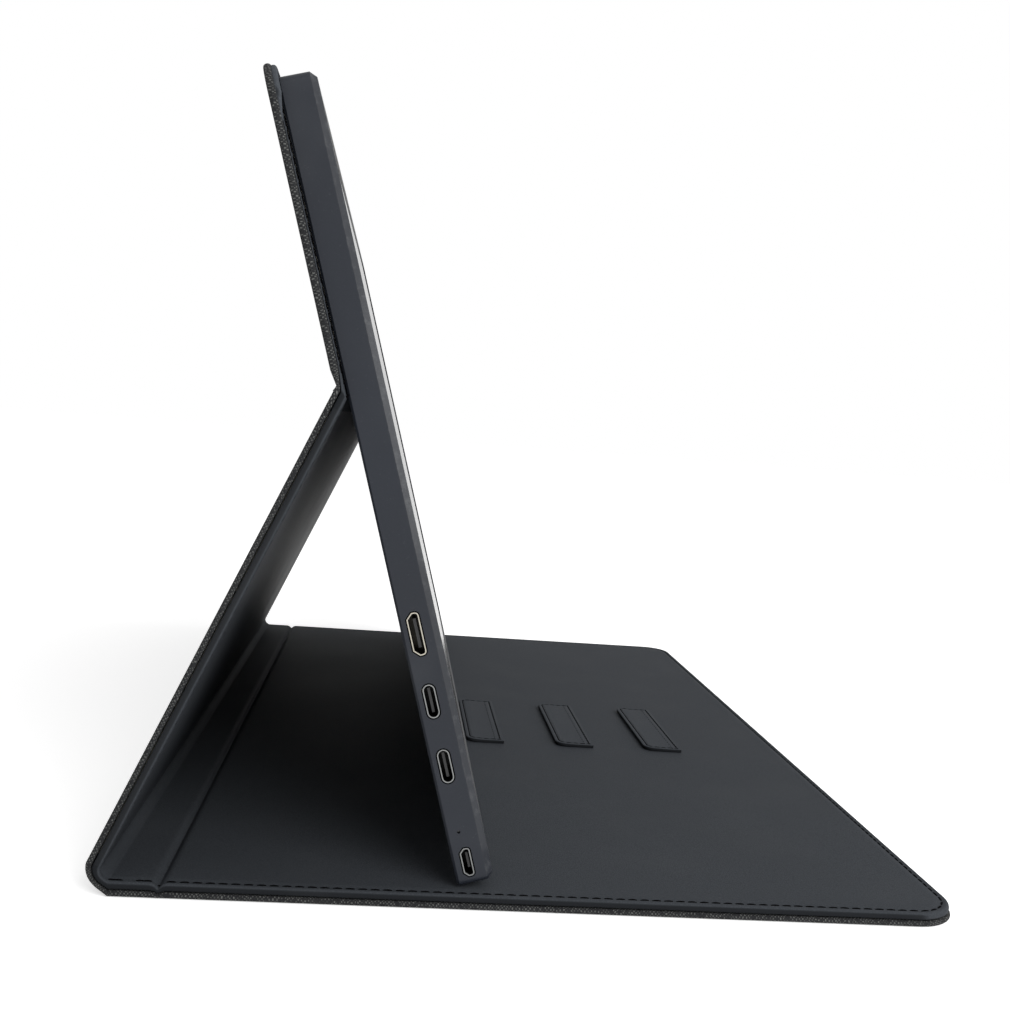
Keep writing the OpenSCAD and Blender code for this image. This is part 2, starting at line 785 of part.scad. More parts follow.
// Metal shell of a socket: outline grown by 0 outside and shrunk by the wall inside
module socket_shell() {
    color("#c9ccd0") on_monitor() difference() {
        along_x(-side_x, -side_x + socket_l) children(0);
        along_x(-side_x - overlap, -side_x + socket_l - shell_t) children(1);
    }
}
module video_socket() { socket_shell() { video_outline(); video_outline(-shell_t); } }
module oval_socket_upper() { socket_shell() { upper_oval_outline(); upper_oval_outline(-shell_t); } }
module oval_socket_lower() { socket_shell() { lower_oval_outline(); lower_oval_outline(-shell_t); } }
module power_socket() { socket_shell() { power_in_outline(); power_in_outline(-shell_t); } }

// Contact tongues, fixed to the closed end of each shell
module tongue(h, z, l, t) {
    end = -side_x + socket_l - shell_t;
    block([end - tongue_l, h - l / 2, z - t / 2], [end, h + l / 2, z + t / 2]);
}
module socket_tongues() {
    color("#202124") on_monitor() {
        tongue(video_h, port_z + 0.3, video_size.x - 3.6, 0.8);
        tongue(oval_upper_h, port_z, oval_size.x - 2.4, 0.7);
        tongue(oval_lower_h, port_z, oval_size.x - 2.4, 0.7);
        tongue(power_in_h, port_z + 0.3, power_in_size.x - 3.4, 0.6);
    }
}

module status_light() {
    color("#7ec8ff") on_monitor() {
        along_x(-inner_x - 0.8, board_x0 + 2)
            translate([pinhole_h, port_z - 0.4]) circle(pinhole_r - seat_gap);
        block([board_x0 + 1, pinhole_h - 1, chip_top], [board_x0 + 2.6, pinhole_h + 1, chip_top + 1.4]);
    }
}

module headphone_socket() {
    color("#17181a") on_monitor() difference() {
        union() {
            along_x(side_x - jack_l, inner_x - seat_gap)
                translate([jack_h - jack_body_w / 2, back_wall])
                    square([jack_body_w, cavity_h - seat_gap / 2]);
            along_x(side_x - jack_l, side_x) translate([jack_h, jack_z]) circle(jack_r + jack_wall);
        }
        along_x(side_x - jack_l + jack_end, side_x + overlap)
            translate([jack_h, jack_z]) circle(jack_r);
    }
}

module speaker(side) {
    color("#232427") on_monitor()
        translate([side * speaker_x - speaker_size.x / 2, speaker_y - speaker_size.y / 2, back_wall])
            cube([speaker_size.x, speaker_size.y, 3.6]);
}
module speaker_left() { speaker(-1); }
module speaker_right() { speaker(1); }

// ---- ribbons and leads ----

lead_z = back_wall + wire_r;
board_x1 = board_x0 + board_l;
ribbon_tuck = 8;                                 // ribbon's run under the main board
speaker_end = speaker_x - speaker_size.x / 2;

module screen_ribbon() {
    top = chip_top + ribbon_t;
    color("#b98b4a") on_monitor()
        translate([0, driver_y[0] + 2, 0]) mirror([0, 1, 0]) rotate([90, 0, 0])
            linear_extrude(8)
                polygon([[board_x1 - 6, chip_top], [board_x1, chip_top],
                    [-driver_w / 2, plate_z - board_t - ribbon_t],
                    [-driver_w / 2 + 10, plate_z - board_t - ribbon_t],
                    [-driver_w / 2 + 10, plate_z - board_t], [-driver_w / 2 - 0.4, plate_z - board_t],
                    [board_x1 - 0.4, top], [board_x1 - 6, top]]);
}

module backlight_ribbon() {
    color("#b98b4a") on_monitor() along_x(ribbon_x, ribbon_x + ribbon_w)
        polygon([[driver_y[0], plate_z - 0.5], [driver_y[0], plate_z - 0.3],
            [layer_y0 + 1.6, plate_z - 0.3], [layer_y0 + 1.6, guide_z],
            [layer_y0 + 1.4, guide_z], [layer_y0 + 1.4, plate_z - 0.5]]);
}

module button_ribbon() {
    color("#b98b4a") on_monitor()
        block([board_x1 - ribbon_tuck, ribbon_y - ribbon_w / 2, back_wall],
            [button_board_x, ribbon_y + ribbon_w / 2, back_wall + ribbon_t]);
}

module speaker_leads() {
    color("#a02020") on_monitor() {
        along_x(board_x1, -speaker_x - speaker_size.x / 2)
            translate([speaker_y, lead_z]) circle(wire_r);
        along_x(-speaker_end, speaker_end)
            translate([speaker_y, lead_z]) circle(wire_r);
    }
}

// ---- buttons on the far side ----

button_rows = [power_h, menu_up_h, menu_down_h];

module button_board() {
    color("#1f5b3a") on_monitor()
        block([button_board_x, menu_down_h - 6, back_wall],
            [button_board_x + board_t, power_h + 6, plate_z - 0.2]);
}
module button_switches() {
    color("#d8dadd") on_monitor() for (h = button_rows)
        block([switch_x - switch_l, h - 1.8, port_z - 1.6], [switch_x, h + 1.8, port_z + 1.6]);
}
module side_button(h) {
    color("#2b2e36") on_monitor() {
        along_x(flange_x + flange_t - overlap, side_x + cap_proud) cap_outline(h);
        along_x(flange_x, flange_x + flange_t) cap_outline(h, flange_rim);
    }
}
module power_button() { side_button(power_h); }
module menu_up_button() { side_button(menu_up_h); }
module menu_down_button() { side_button(menu_down_h); }

base_fabric();
base_board();
base_lining();
closure_magnets();
tab_front_row();
tab_middle_row();
tab_rear_row();
crease_fabric();
crease_lining();
spine_fabric();
spine_board();
spine_lining();
turn_fabric();
turn_lining();
leg_fabric();
leg_board();
leg_lining();
notch_fabric();
notch_lining();
upper_fabric();
upper_board();
upper_lining();
glue_sheet();
rear_housing();
front_frame();
frame_tape();
screen_cell();
diffuser();
light_guide();
reflector();
light_bar();
screen_plate();
driver_board();
main_board();
board_chips();
shield_can();
board_screws();
video_socket();
oval_socket_upper();
oval_socket_lower();
power_socket();
socket_tongues();
status_light();
headphone_socket();
speaker_left();
speaker_right();
screen_ribbon();
backlight_ribbon();
button_ribbon();
speaker_leads();
button_board();
button_switches();
power_button();
menu_up_button();
menu_down_button();
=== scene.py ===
"""Portable monitor standing in its folding cover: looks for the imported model."""

from math import acos, atan2, cos, exp, hypot, pi, radians, sin

import bmesh
import bpy
from bpy.props import FloatProperty, FloatVectorProperty, PointerProperty
from mathutils import Matrix, Vector


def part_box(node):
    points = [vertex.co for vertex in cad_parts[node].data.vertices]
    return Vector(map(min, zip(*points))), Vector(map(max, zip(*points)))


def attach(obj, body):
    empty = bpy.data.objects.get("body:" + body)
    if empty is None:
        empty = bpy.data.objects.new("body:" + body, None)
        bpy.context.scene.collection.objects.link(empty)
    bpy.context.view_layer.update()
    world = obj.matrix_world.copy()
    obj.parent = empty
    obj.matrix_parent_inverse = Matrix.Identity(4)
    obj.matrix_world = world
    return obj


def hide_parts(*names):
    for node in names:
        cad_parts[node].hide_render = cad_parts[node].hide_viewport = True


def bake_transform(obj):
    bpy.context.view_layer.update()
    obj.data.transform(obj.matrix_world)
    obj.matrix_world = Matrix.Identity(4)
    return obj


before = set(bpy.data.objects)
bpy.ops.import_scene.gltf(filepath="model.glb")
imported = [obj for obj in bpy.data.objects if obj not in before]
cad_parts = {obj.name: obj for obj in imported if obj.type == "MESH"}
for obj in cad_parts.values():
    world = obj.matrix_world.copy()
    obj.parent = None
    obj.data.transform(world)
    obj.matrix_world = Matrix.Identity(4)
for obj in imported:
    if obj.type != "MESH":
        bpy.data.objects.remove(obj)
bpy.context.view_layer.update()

bl_info = {
    "name": "Portable monitor with cover",
    "version": (1, 0, 0),
    "blender": (4, 5, 0),
    "location": "View3D > Sidebar > Monitor Cover",
    "description": "Dresses a portable monitor and its folding fabric cover",
    "category": "Object",
}

MM = 0.001

# Sizes of the solids, in millimetres, by the names that the solids use
COVER_W = 363.0
BASE_L = 213.0
SPINE_L = 12.4
LEG_L = 132.2
FRONT_CORNER_R = 13.0
UPPER_CORNER_R = 9.0
COVER_T = 3.7
FOLD_R = 6.0
CREASE_HALF = 3.0
TURN_END = 0.5
NOTCH_L = 3.0
NOTCH_RISE = 7.0
NOTCH_PINCH = 0.3
FOLD_DEPTH = 1.5
UPPER_T = 2.4
GLUE_T = 0.3
TOP_OVERHANG = 4.3
REST_GAP = 0.3
TAB_L = 62.0
TAB_W = 14.5
TAB_PITCH = 34.6
TAB_FRONT = 43.5
TAB_SHIFT = -6.5
TAB_T = 1.3
TAB_LIFT = 0.6
TAB_CORNER_R = 4.0
TAB_TUCK = 10.0
MONITOR_W = 354.0
MONITOR_H = 210.0
MONITOR_T = 9.7
FRAME_Z = 8.0
FOLD_H = 130.5
LAYOUT_SLACK = 0.4

HALF_W = COVER_W / 2
FRONT_Y = -(BASE_L + SPINE_L + FOLD_R) / 2
CREASE_Y = FRONT_Y + BASE_L
HINGE = Vector((0, CREASE_Y + SPINE_L, FOLD_R))
SEAT = Vector((0, FRONT_Y + TAB_FRONT + 2 * TAB_PITCH + TAB_W + TAB_TUCK, COVER_T + REST_GAP))


def stand_triangle():
    """Leg angle, lean and the fold's place, from the three sides of the stand."""
    leg_axis_r = FOLD_R - COVER_T + FOLD_DEPTH
    fold_off = FOLD_DEPTH + GLUE_T
    leg = hypot(LEG_L, leg_axis_r)
    back = hypot(FOLD_H, fold_off)
    dy, dz = HINGE.y - SEAT.y, SEAT.z - HINGE.z
    foot = hypot(dy, dz)
    corner = acos((leg**2 + foot**2 - back**2) / (2 * leg * foot)) + atan2(dz, dy)
    angle = corner - atan2(leg_axis_r, LEG_L)
    fold = Vector((0, HINGE.y - leg * cos(corner), HINGE.z + leg * sin(corner)))
    lean = pi / 2 - atan2(fold.z - SEAT.z, fold.y - SEAT.y) - atan2(fold_off, FOLD_H)
    return angle, lean, fold


LEG_ANGLE, LEAN, FOLD = stand_triangle()
LEG_DIR = Vector((0, -cos(LEG_ANGLE), sin(LEG_ANGLE)))
BACK_DIR = Vector((0, sin(LEAN), cos(LEAN)))


def leg_at(y, z):
    """Point of the leg's frame: y up the leg, z towards the lining."""
    inward = Vector((0, -sin(LEG_ANGLE), -cos(LEG_ANGLE)))
    return HINGE + LEG_DIR * y + inward * z


def back_at(y, z):
    """Point of the monitor's frame: y up the monitor, z from its back to the screen."""
    forward = Vector((0, -cos(LEAN), sin(LEAN)))
    return SEAT + BACK_DIR * y + forward * z


def check_layout():
    """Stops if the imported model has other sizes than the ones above."""
    low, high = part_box("base_fabric")
    box_low, box_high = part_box("rear_housing")
    pairs = [
        (low.y / MM, FRONT_Y),
        (high.x / MM, HALF_W),
        (high.y / MM, CREASE_Y - CREASE_HALF),
        (box_low.z / MM, SEAT.z),
        (box_high.x / MM, MONITOR_W / 2),
        (box_high.z / MM, back_at(MONITOR_H, FRAME_Z).z),
    ]
    for found, wanted in pairs:
        if abs(found - wanted) > LAYOUT_SLACK:
            raise RuntimeError(f"the packed model has {found:.2f} mm where {wanted:.2f} was expected")


# --- properties


def number(name, text, value, low, high):
    return FloatProperty(name=name, description=text, default=value, min=low, max=high)


def angle(name, text, degrees):
    return FloatProperty(name=name, description=text, default=radians(degrees), subtype="ANGLE")


def colour(name, text, value):
    return FloatVectorProperty(
        name=name, description=text, default=value, size=3, min=0, max=1, subtype="COLOR"
    )


class CoverLooks(bpy.types.PropertyGroup):
    """Hems, stitches and colours of the cover."""

    outer_bead: number("Outer hem", "Height of the rolled fabric hem, in mm", 1.45, 1.2, 2.0)
    lining_bead: number("Lining hem", "Height of the lining's rolled edge, in mm", 1.9, 1.2, 2.2)
    lining_inset: number("Lining inset", "Lining's edge inside the fabric's, in mm", 0.5, 0.2, 1.2)
    seam_inset: number("Seam inset", "Stitch line inside the cover's edge, in mm", 2.5, 2.0, 4.0)
    seam_depth: number("Seam depth", "Depth of the groove that the stitches lie in, in mm", 0.32, 0, 0.5)
    stitch_pitch: number("Stitch pitch", "Distance between stitches, in mm", 3.2, 2.0, 5.0)
    stitch_length: number("Stitch length", "Length of one stitch, in mm", 2.2, 1.0, 4.0)
    thread_radius: number("Thread radius", "Radius of the thread, in mm", 0.31, 0.1, 0.4)
    thread_pitch: number("Weave pitch", "Distance between yarns of the fabric, in mm", 0.45, 0.3, 1.2)
    yarn_dark: colour("Dark yarn", "Colour of most yarns", (0.019, 0.0195, 0.021))
    yarn_light: colour("Light yarn", "Colour of the light flecks", (0.125, 0.128, 0.122))
    lining_colour: colour("Lining", "Colour of the lining", (0.042, 0.0462, 0.0525))
    thread_colour: colour("Thread", "Colour of the stitches", (0.0025, 0.0025, 0.003))


class MonitorLooks(bpy.types.PropertyGroup):
    """Colours of the monitor."""

    housing_colour: colour("Housing", "Paint of the housing", (0.0144, 0.0170, 0.0232))
    screen_colour: colour("Screen", "Screen when it is off", (0.006, 0.006, 0.008))
    shell_colour: colour("Video shell", "Metal of the video socket", (0.43, 0.405, 0.345))
    dull_shell_colour: colour("Socket shell", "Metal of the other sockets", (0.215, 0.22, 0.218))


class StageLooks(bpy.types.PropertyGroup):
    """Camera, light and floor."""

    camera_place: FloatVectorProperty(
        name="Camera", description="Place of the camera", default=(-0.4713, 0.04511, 0.12541),
        size=3, subtype="TRANSLATION", unit="LENGTH")
    camera_yaw: angle("Yaw", "Turn to the front", 5.453)
    camera_pitch: angle("Pitch", "Tilt down", 4.0)
    camera_roll: angle("Roll", "Roll", 4.438)
    camera_lens: number("Lens", "Focal length, in mm", 41.418, 10, 200)
    key_power: number("Key light", "Power of the large lamp, in W", 8.0, 0, 500)
    fill_power: number("Front light", "Power of the lamp in front, in W", 3.2, 0, 500)
    ambient: number("Ambient", "Strength of the even light", 0.55, 0, 2)
    floor_colour: colour("Floor", "Colour of the floor", (0.93, 0.93, 0.93))
    floor_glow: number("Floor white", "Lift of the floor to white", 0.52, 0, 1)


# --- meshes

SMOOTH_LIMIT = radians(38)
BEAD_STEPS = 6
CORNER_STEPS = 10
# Groove that the stitches lie in: distance inwards from the stitch line, share of its depth
GROOVE = ((2.4, 0.0), (0.9, 0.0), (0.0, 1.0), (-0.7, 0.3))
# Points of the face without stitches, inwards from the rolled edge
PLAIN_FACE = (1.2, 0.4)
# Arcs of a hem that are closer than this share their middle point
ARC_GAP = 0.01
LINING_CORNERS = (0.45, 0.95)


def new_object(name, data):
    obj = bpy.data.objects.new(name, data)
    bpy.context.scene.collection.objects.link(obj)
    return obj


def make_object(name, points, faces, flats):
    """Mesh object from points in millimetres; flats are its flat coordinates, one per point."""
    mesh = bpy.data.meshes.new(name)
    mesh.from_pydata([Vector(p) * MM for p in points], [], faces)
    mesh.validate()
    layer = mesh.attributes.new("cloth", "FLOAT_VECTOR", "POINT")
    layer.data.foreach_set("vector", [c * MM for flat in flats for c in flat])
    for polygon in mesh.polygons:
        polygon.use_smooth = True
    mesh.set_sharp_from_angle(angle=SMOOTH_LIMIT)
    return new_object(name, mesh)


def ring_faces(rings, count, closed=True):
    """Quads between rings of count points each."""
    faces = []
    for i in range(rings - 1):
        for j in range(count if closed else count - 1):
            a, b = i * count + j, i * count + (j + 1) % count
            faces.append((a, b, b + count, a + count))
    return faces


def clean_normals(obj):
    """Turns every face of a closed mesh outwards."""
    work = bmesh.new()
    work.from_mesh(obj.data)
    bmesh.ops.recalc_face_normals(work, faces=work.faces)
    work.to_mesh(obj.data)
    work.free()


def finish_piece(obj, material, body, replaced=()):
    """Gives a piece its material and the body that it moves with; for a blend of bodies the blend is
    worked out but not used, and the piece is only fixed where it stands.
    """
    obj.data.materials.clear()
    obj.data.materials.append(material)
    if callable(body):
        blended = body()
        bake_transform(obj)
    else:
        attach(obj, body)
    if replaced:
        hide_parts(*replaced)


def bead_profile(low, high, inset, corners, look, seam_low):
    """Section of a rolled hem from its lower face round to its upper one: (inset, height, girth)."""

    def face(height, r, inwards, seamed):
        if seamed:
            depth = inwards * look.seam_depth
            return [(look.seam_inset + away, height + depth * share) for away, share in GROOVE]
        return [(inset + r + away, height) for away in PLAIN_FACE]

    r_low, r_high = corners
    points = face(low, r_low, 1, seam_low)
    angles = [pi / 2 * i / BEAD_STEPS for i in range(BEAD_STEPS + 1)]
    for a in angles:
        points.append((inset + r_low - r_low * sin(a), low + r_low - r_low * cos(a)))
    if r_low + r_high >= high - low - ARC_GAP:
        angles = angles[1:]
    for a in angles:
        points.append((inset + r_high - r_high * cos(a), high - r_high + r_high * sin(a)))
    points += reversed(face(high, r_high, -1, not seam_low))
    girth = [0.0]
    for a, b in zip(points, points[1:]):
        girth.append(girth[-1] + hypot(b[0] - a[0], b[1] - a[1]))
    return [(p[0], p[1], g) for p, g in zip(points, girth)]


def corner_normal(side, a):
    """Outward normal on the left or right rounded corner of an end."""
    return (-cos(a), sin(a)) if side < 0 else (sin(a), cos(a))


def end_outline(v_fold, v_end, r):
    """Outline of a panel with a rounded free end, from the fold round and back: (x, v, normal)."""
    sign = 1 if v_end > v_fold else -1
    points = [(-HALF_W, v_fold, (-1, 0)), (-HALF_W, v_end - sign * r, (-1, 0))]
    for side in (-1, 1):
        for i in range(1, CORNER_STEPS + 1):
            nx, nv = corner_normal(side, pi / 2 * i / CORNER_STEPS)
            nv *= sign
            points.append((side * (HALF_W - r) + r * nx, v_end - sign * r + r * nv, (nx, nv)))
        if side < 0:
            points.append((HALF_W - r, v_end, (0, sign)))
    points.append((HALF_W, v_fold, (1, 0)))
    return points


def end_panel(name, place, v_fold, v_end, r, profile, cloth_at):
    """Panel with a rolled hem on three sides; place gives the point at (v, height)."""
    outline = end_outline(v_fold, v_end, r)
    count, rings = len(outline), len(profile)
    points, flats = [], []
    start = profile[0][0]
    for inset, height, girth in profile:
        out = girth - start
        for x, v, n in outline:
            at = place(v - inset * n[1], height)
            points.append(Vector((x - (inset + at.x) * n[0], at.y, at.z)))
            flats.append((x + n[0] * out, cloth_at(v) + n[1] * out, 0))
    faces = [(a, d, c, b) for a, b, c, d in ring_faces(rings, count, False)]
    faces.append(tuple(range(count)))
    top = (rings - 1) * count
    faces.append(tuple(reversed(range(top, top + count))))
    starts = [i * count for i in range(rings)]
    faces.append(tuple(starts[::-1] + [i + count - 1 for i in starts]))
    if v_end > v_fold:
        faces = [tuple(reversed(f)) for f in faces]
    return make_object(name, points, faces, flats)


def strip_panel(name, place, stations, profile, cloth_at):
    """Panel between two folds, or the fold itself, with a rolled hem on both sides."""
    ring = [(-1, p) for p in profile] + [(1, p) for p in reversed(profile)]
    points, flats = [], []
    start = profile[0][0]
    for v in stations:
        for side, (inset, height, girth) in ring:
            at = place(v, height)
            points.append(Vector((side * (HALF_W - inset - at.x), at.y, at.z)))
            flats.append((side * (HALF_W + girth - start), cloth_at(v), 0))
    faces = ring_faces(len(stations), len(ring))
    faces.append(tuple(reversed(range(len(ring)))))
    faces.append(tuple(range(len(points) - len(ring), len(points))))
    return make_object(name, points, faces, flats)


# --- places on the cover

# The pressed crease: depth and half width of its narrow and its wide part
CREASE_DIPS = ((0.55, 0.6), (0.75, 1.4))
# How far the turn lies flat on the table: at its outer face, and less towards the lining
TURN_FLAT, TURN_FLAT_LOSS = 1.25, 0.95
# Heights in the cover with their heights in the upper panel, and where its lining is set back
UPPER_LEVELS = ((0, 0), (1.45, 1.95), (1.9, 2.0), (COVER_T, UPPER_T))
UPPER_LINING_FROM, UPPER_LINING_SET_BACK = 1.7, 1.4
# Stitches on a stiff panel end this far before a bend
BEND_CLEAR = 1.7
# How far a blend stays inside the crease, and how far it reaches past the fold
CREASE_MARGIN, NOTCH_REACH = 0.3, 2.0
BASE_END = CREASE_Y - CREASE_HALF
SPINE_START = CREASE_Y + CREASE_HALF
SPINE_END = HINGE.y - TURN_END
LEG_END = LEG_L - NOTCH_L
UPPER_START = FOLD_H + NOTCH_RISE
UPPER_END = MONITOR_H + TOP_OVERHANG
# Length along the cloth, from the front: round the turn, at the leg's start and at the fold
TURN_ARC = FOLD_R * (pi - LEG_ANGLE)
LEG_CLOTH = HINGE.y + TURN_ARC
FOLD_CLOTH = LEG_CLOTH + LEG_L


def flat_place(v, height):
    """Each place function gives the extra inset of the edge and the point's y and z."""
    return Vector((0, v, height))


def crease_place(v, height):
    """The pressed crease: everything is squeezed towards the table along a narrow line."""
    d = abs(v - CREASE_Y)
    edge = max(0.0, 1 - (d / CREASE_HALF) ** 2)
    press = sum(depth * exp(-((d / half) ** 2)) for depth, half in CREASE_DIPS) * edge
    return Vector((0, v, height * (1 - press / COVER_T)))


def turn_place(v, height):
    """The turn at the table: below 0 on the spine, 0 to 1 round the arc, above 1 on the leg."""
    if v <= 0:
        return Vector((0, HINGE.y + v, height))
    if v >= 1:
        return leg_at(v - 1, height - FOLD_R)
    a = v * (pi - LEG_ANGLE)
    flat = sin(pi * v**0.7) * (TURN_FLAT - TURN_FLAT_LOSS * height / COVER_T)
    r = FOLD_R - height - flat
    return HINGE + Vector((0, r * sin(a), -r * cos(a)))


def leg_place(v, height):
    return leg_at(v, height - FOLD_R)


def upper_place(v, height):
    """The upper panel: its fabric takes most of the thickness, its lining is thin and set back."""
    for (low, out_low), (high, out_high) in zip(UPPER_LEVELS, UPPER_LEVELS[1:]):
        if height <= high or high == COVER_T:
            share = (height - low) / (high - low)
            at = back_at(v, out_low + (out_high - out_low) * share - UPPER_T - GLUE_T)
            at.x = UPPER_LINING_SET_BACK if height > UPPER_LINING_FROM else 0
            return at


def notch_tip():
    """Where the leg's outer line meets the pinched fold, past the end of the leg."""
    bent = pi / 2 - LEG_ANGLE + LEAN
    past = ((COVER_T - FOLD_DEPTH) * cos(bent) - NOTCH_PINCH) / sin(bent)
    return leg_at(LEG_L + past, -FOLD_R)


def notch_place(v, height):
    """The fold behind the monitor: below 0 on the leg, above 0 on the upper panel."""
    inward = (leg_at(0, 1) - leg_at(0, 0) + back_at(0, 1) - back_at(0, 0)).normalized()
    middle = notch_tip().lerp(FOLD + inward * FOLD_DEPTH, height / COVER_T)
    if v < 0:
        return middle.lerp(leg_place(LEG_L - NOTCH_L, height), -v / NOTCH_L)
    return middle.lerp(upper_place(FOLD_H + NOTCH_RISE, height), v / NOTCH_RISE)


def spread(low, high, count):
    return [low + (high - low) * i / (count - 1) for i in range(count)]


def cloth_turn(v):
    return HINGE.y + (v if v <= 0 else v * TURN_ARC if v < 1 else TURN_ARC + v - 1)


def metres(p):
    return tuple(c * MM for c in p)


def turn_blend():
    """Bodies and the points between which the turn would follow the leg, so that both of its ends stay
    put; the blend is not used.
    """
    low, high = turn_place(-TURN_END, 0), turn_place(1 + TURN_END, 0)
    along = (high - low).normalized()
    first = max((turn_place(-TURN_END, h) - low).dot(along) for h in (0, COVER_T))
    last = min((turn_place(1 + TURN_END, h) - low).dot(along) for h in (0, COVER_T))
    return "spine", "leg", metres(low + along * first), metres(low + along * last)


def crease_blend():
    reach = CREASE_HALF - CREASE_MARGIN
    return "base", "spine", metres((0, CREASE_Y - reach, 0)), metres((0, CREASE_Y + reach, 0))


def notch_blend():
    reach = (LEG_DIR + BACK_DIR).normalized() * NOTCH_REACH
    return "leg", "display", metres(FOLD - reach), metres(FOLD + reach)


CREASE_STATIONS = spread(BASE_END, SPINE_START, 25)
TURN_STATIONS = [-TURN_END] + spread(0, 1, 21) + [1 + TURN_END]
NOTCH_STATIONS = spread(-NOTCH_L, 0, 7) + spread(0, NOTCH_RISE, 15)[1:]
PANELS = (
    # name, mapping, cloth length, stations, corner radius of a free end, nodes, body or blend
    ("front_panel", flat_place, lambda v: v, (BASE_END, FRONT_Y), FRONT_CORNER_R, "base", "base"),
    ("crease", crease_place, lambda v: v, CREASE_STATIONS, 0, "crease", crease_blend),
    ("spine", flat_place, lambda v: v, (SPINE_START, SPINE_END), 0, "spine", "spine"),
    ("turn", turn_place, cloth_turn, TURN_STATIONS, 0, "turn", turn_blend),
    ("leg", leg_place, lambda v: LEG_CLOTH + v, (TURN_END, LEG_END), 0, "leg", "leg"),
    ("notch", notch_place, lambda v: FOLD_CLOTH + v, NOTCH_STATIONS, 0, "notch", notch_blend),
    ("upper_panel", upper_place, lambda v: FOLD_CLOTH + v - FOLD_H, (UPPER_START, UPPER_END),
     UPPER_CORNER_R, "upper", "display"),
)


def cover_layer(context, layer, material, smooth=None):
    """One layer, fabric or lining, of every panel and fold; smooth is the leg's own material."""
    look = context.scene.cover_looks
    if layer == "fabric":
        r = look.outer_bead / 2
        profile = bead_profile(0, look.outer_bead, 0, (r, r), look, True)
    else:
        low = COVER_T - look.lining_bead
        profile = bead_profile(low, COVER_T, look.lining_inset, LINING_CORNERS, look, False)
    for name, place, cloth_at, stations, end_r, node, body in PANELS:
        piece = f"{'outer' if layer == 'fabric' else 'lining'}_{name}"
        if end_r:
            obj = end_panel(piece, place, stations[0], stations[1], end_r, profile, cloth_at)
        else:
            obj = strip_panel(piece, place, stations, profile, cloth_at)
        own = smooth if smooth and node == "leg" else material
        finish_piece(obj, own, body, (f"{node}_{layer}",))


# --- nodes

FLOAT, VECTOR, COLOR = "NodeSocketFloat", "NodeSocketVector", "NodeSocketColor"


def socket(tree, name, kind, way="INPUT", value=None):
    made = tree.interface.new_socket(name=name, in_out=way, socket_type=kind)
    if value is not None:
        made.default_value = value


class Nodes:
    """Small helper that adds and links the nodes of one tree."""

    def __init__(self, tree):
        self.tree = tree

    def add(self, kind, inputs=(), **settings):
        """New node; inputs gives the value or the source of its inputs, by name or number."""
        node = self.tree.nodes.new(kind)
        for key, value in settings.items():
            setattr(node, key, value)
        for key, value in dict(inputs).items():
            self.fill(node.inputs[key], value)
        return node

    def fill(self, target, value):
        """Links a node's output, or a node's first one, to an input, or sets its value."""
        if isinstance(value, bpy.types.Node):
            value = value.outputs[0]
        if isinstance(value, bpy.types.NodeSocket):
            self.tree.links.new(value, target)
        else:
            target.default_value = value

    def math(self, operation, *values, clamp=False):
        inputs = dict(enumerate(values))
        return self.add("ShaderNodeMath", inputs, operation=operation, use_clamp=clamp).outputs[0]

    def plus(self, a, b):
        return self.math("ADD", a, b)

    def minus(self, a, b):
        return self.math("SUBTRACT", a, b)

    def times(self, a, b, clamp=False):
        return self.math("MULTIPLY", a, b, clamp=clamp)

    def scaled(self, a, gain, level):
        return self.math("MULTIPLY_ADD", a, gain, level)

    def absolute(self, a):
        return self.math("ABSOLUTE", a)

    def mix(self, factor, a, b, blend="MIX"):
        inputs = {0: factor, 6: a, 7: b}
        return self.add("ShaderNodeMix", inputs, data_type="RGBA", blend_type=blend).outputs[2]

    def noise(self, vector, scale, detail=2.0, rough=0.5):
        inputs = {"Vector": vector, "Scale": scale, "Detail": detail, "Roughness": rough}
        return self.add("ShaderNodeTexNoise", inputs).outputs["Fac"]

    def steps(self, value, low, high, out_low=0.0, out_high=1.0):
        inputs = dict(enumerate((value, low, high, out_low, out_high)))
        return self.add("ShaderNodeMapRange", inputs, interpolation_type="SMOOTHSTEP").outputs[0]

    def split(self, vector):
        return self.add("ShaderNodeSeparateXYZ", {0: vector}).outputs


def new_group(name, inputs, outputs):
    """Shader group with a vector and named values; tuples and the output Color are colours."""
    tree = bpy.data.node_groups.new(name, "ShaderNodeTree")
    socket(tree, "Vector", VECTOR)
    for label, value in inputs.items():
        socket(tree, label, COLOR if isinstance(value, tuple) else FLOAT, "INPUT", value)
    for label in outputs:
        socket(tree, label, COLOR if label == "Color" else FLOAT, "OUTPUT")
    kit = Nodes(tree)
    return tree, kit, kit.add("NodeGroupInput").outputs


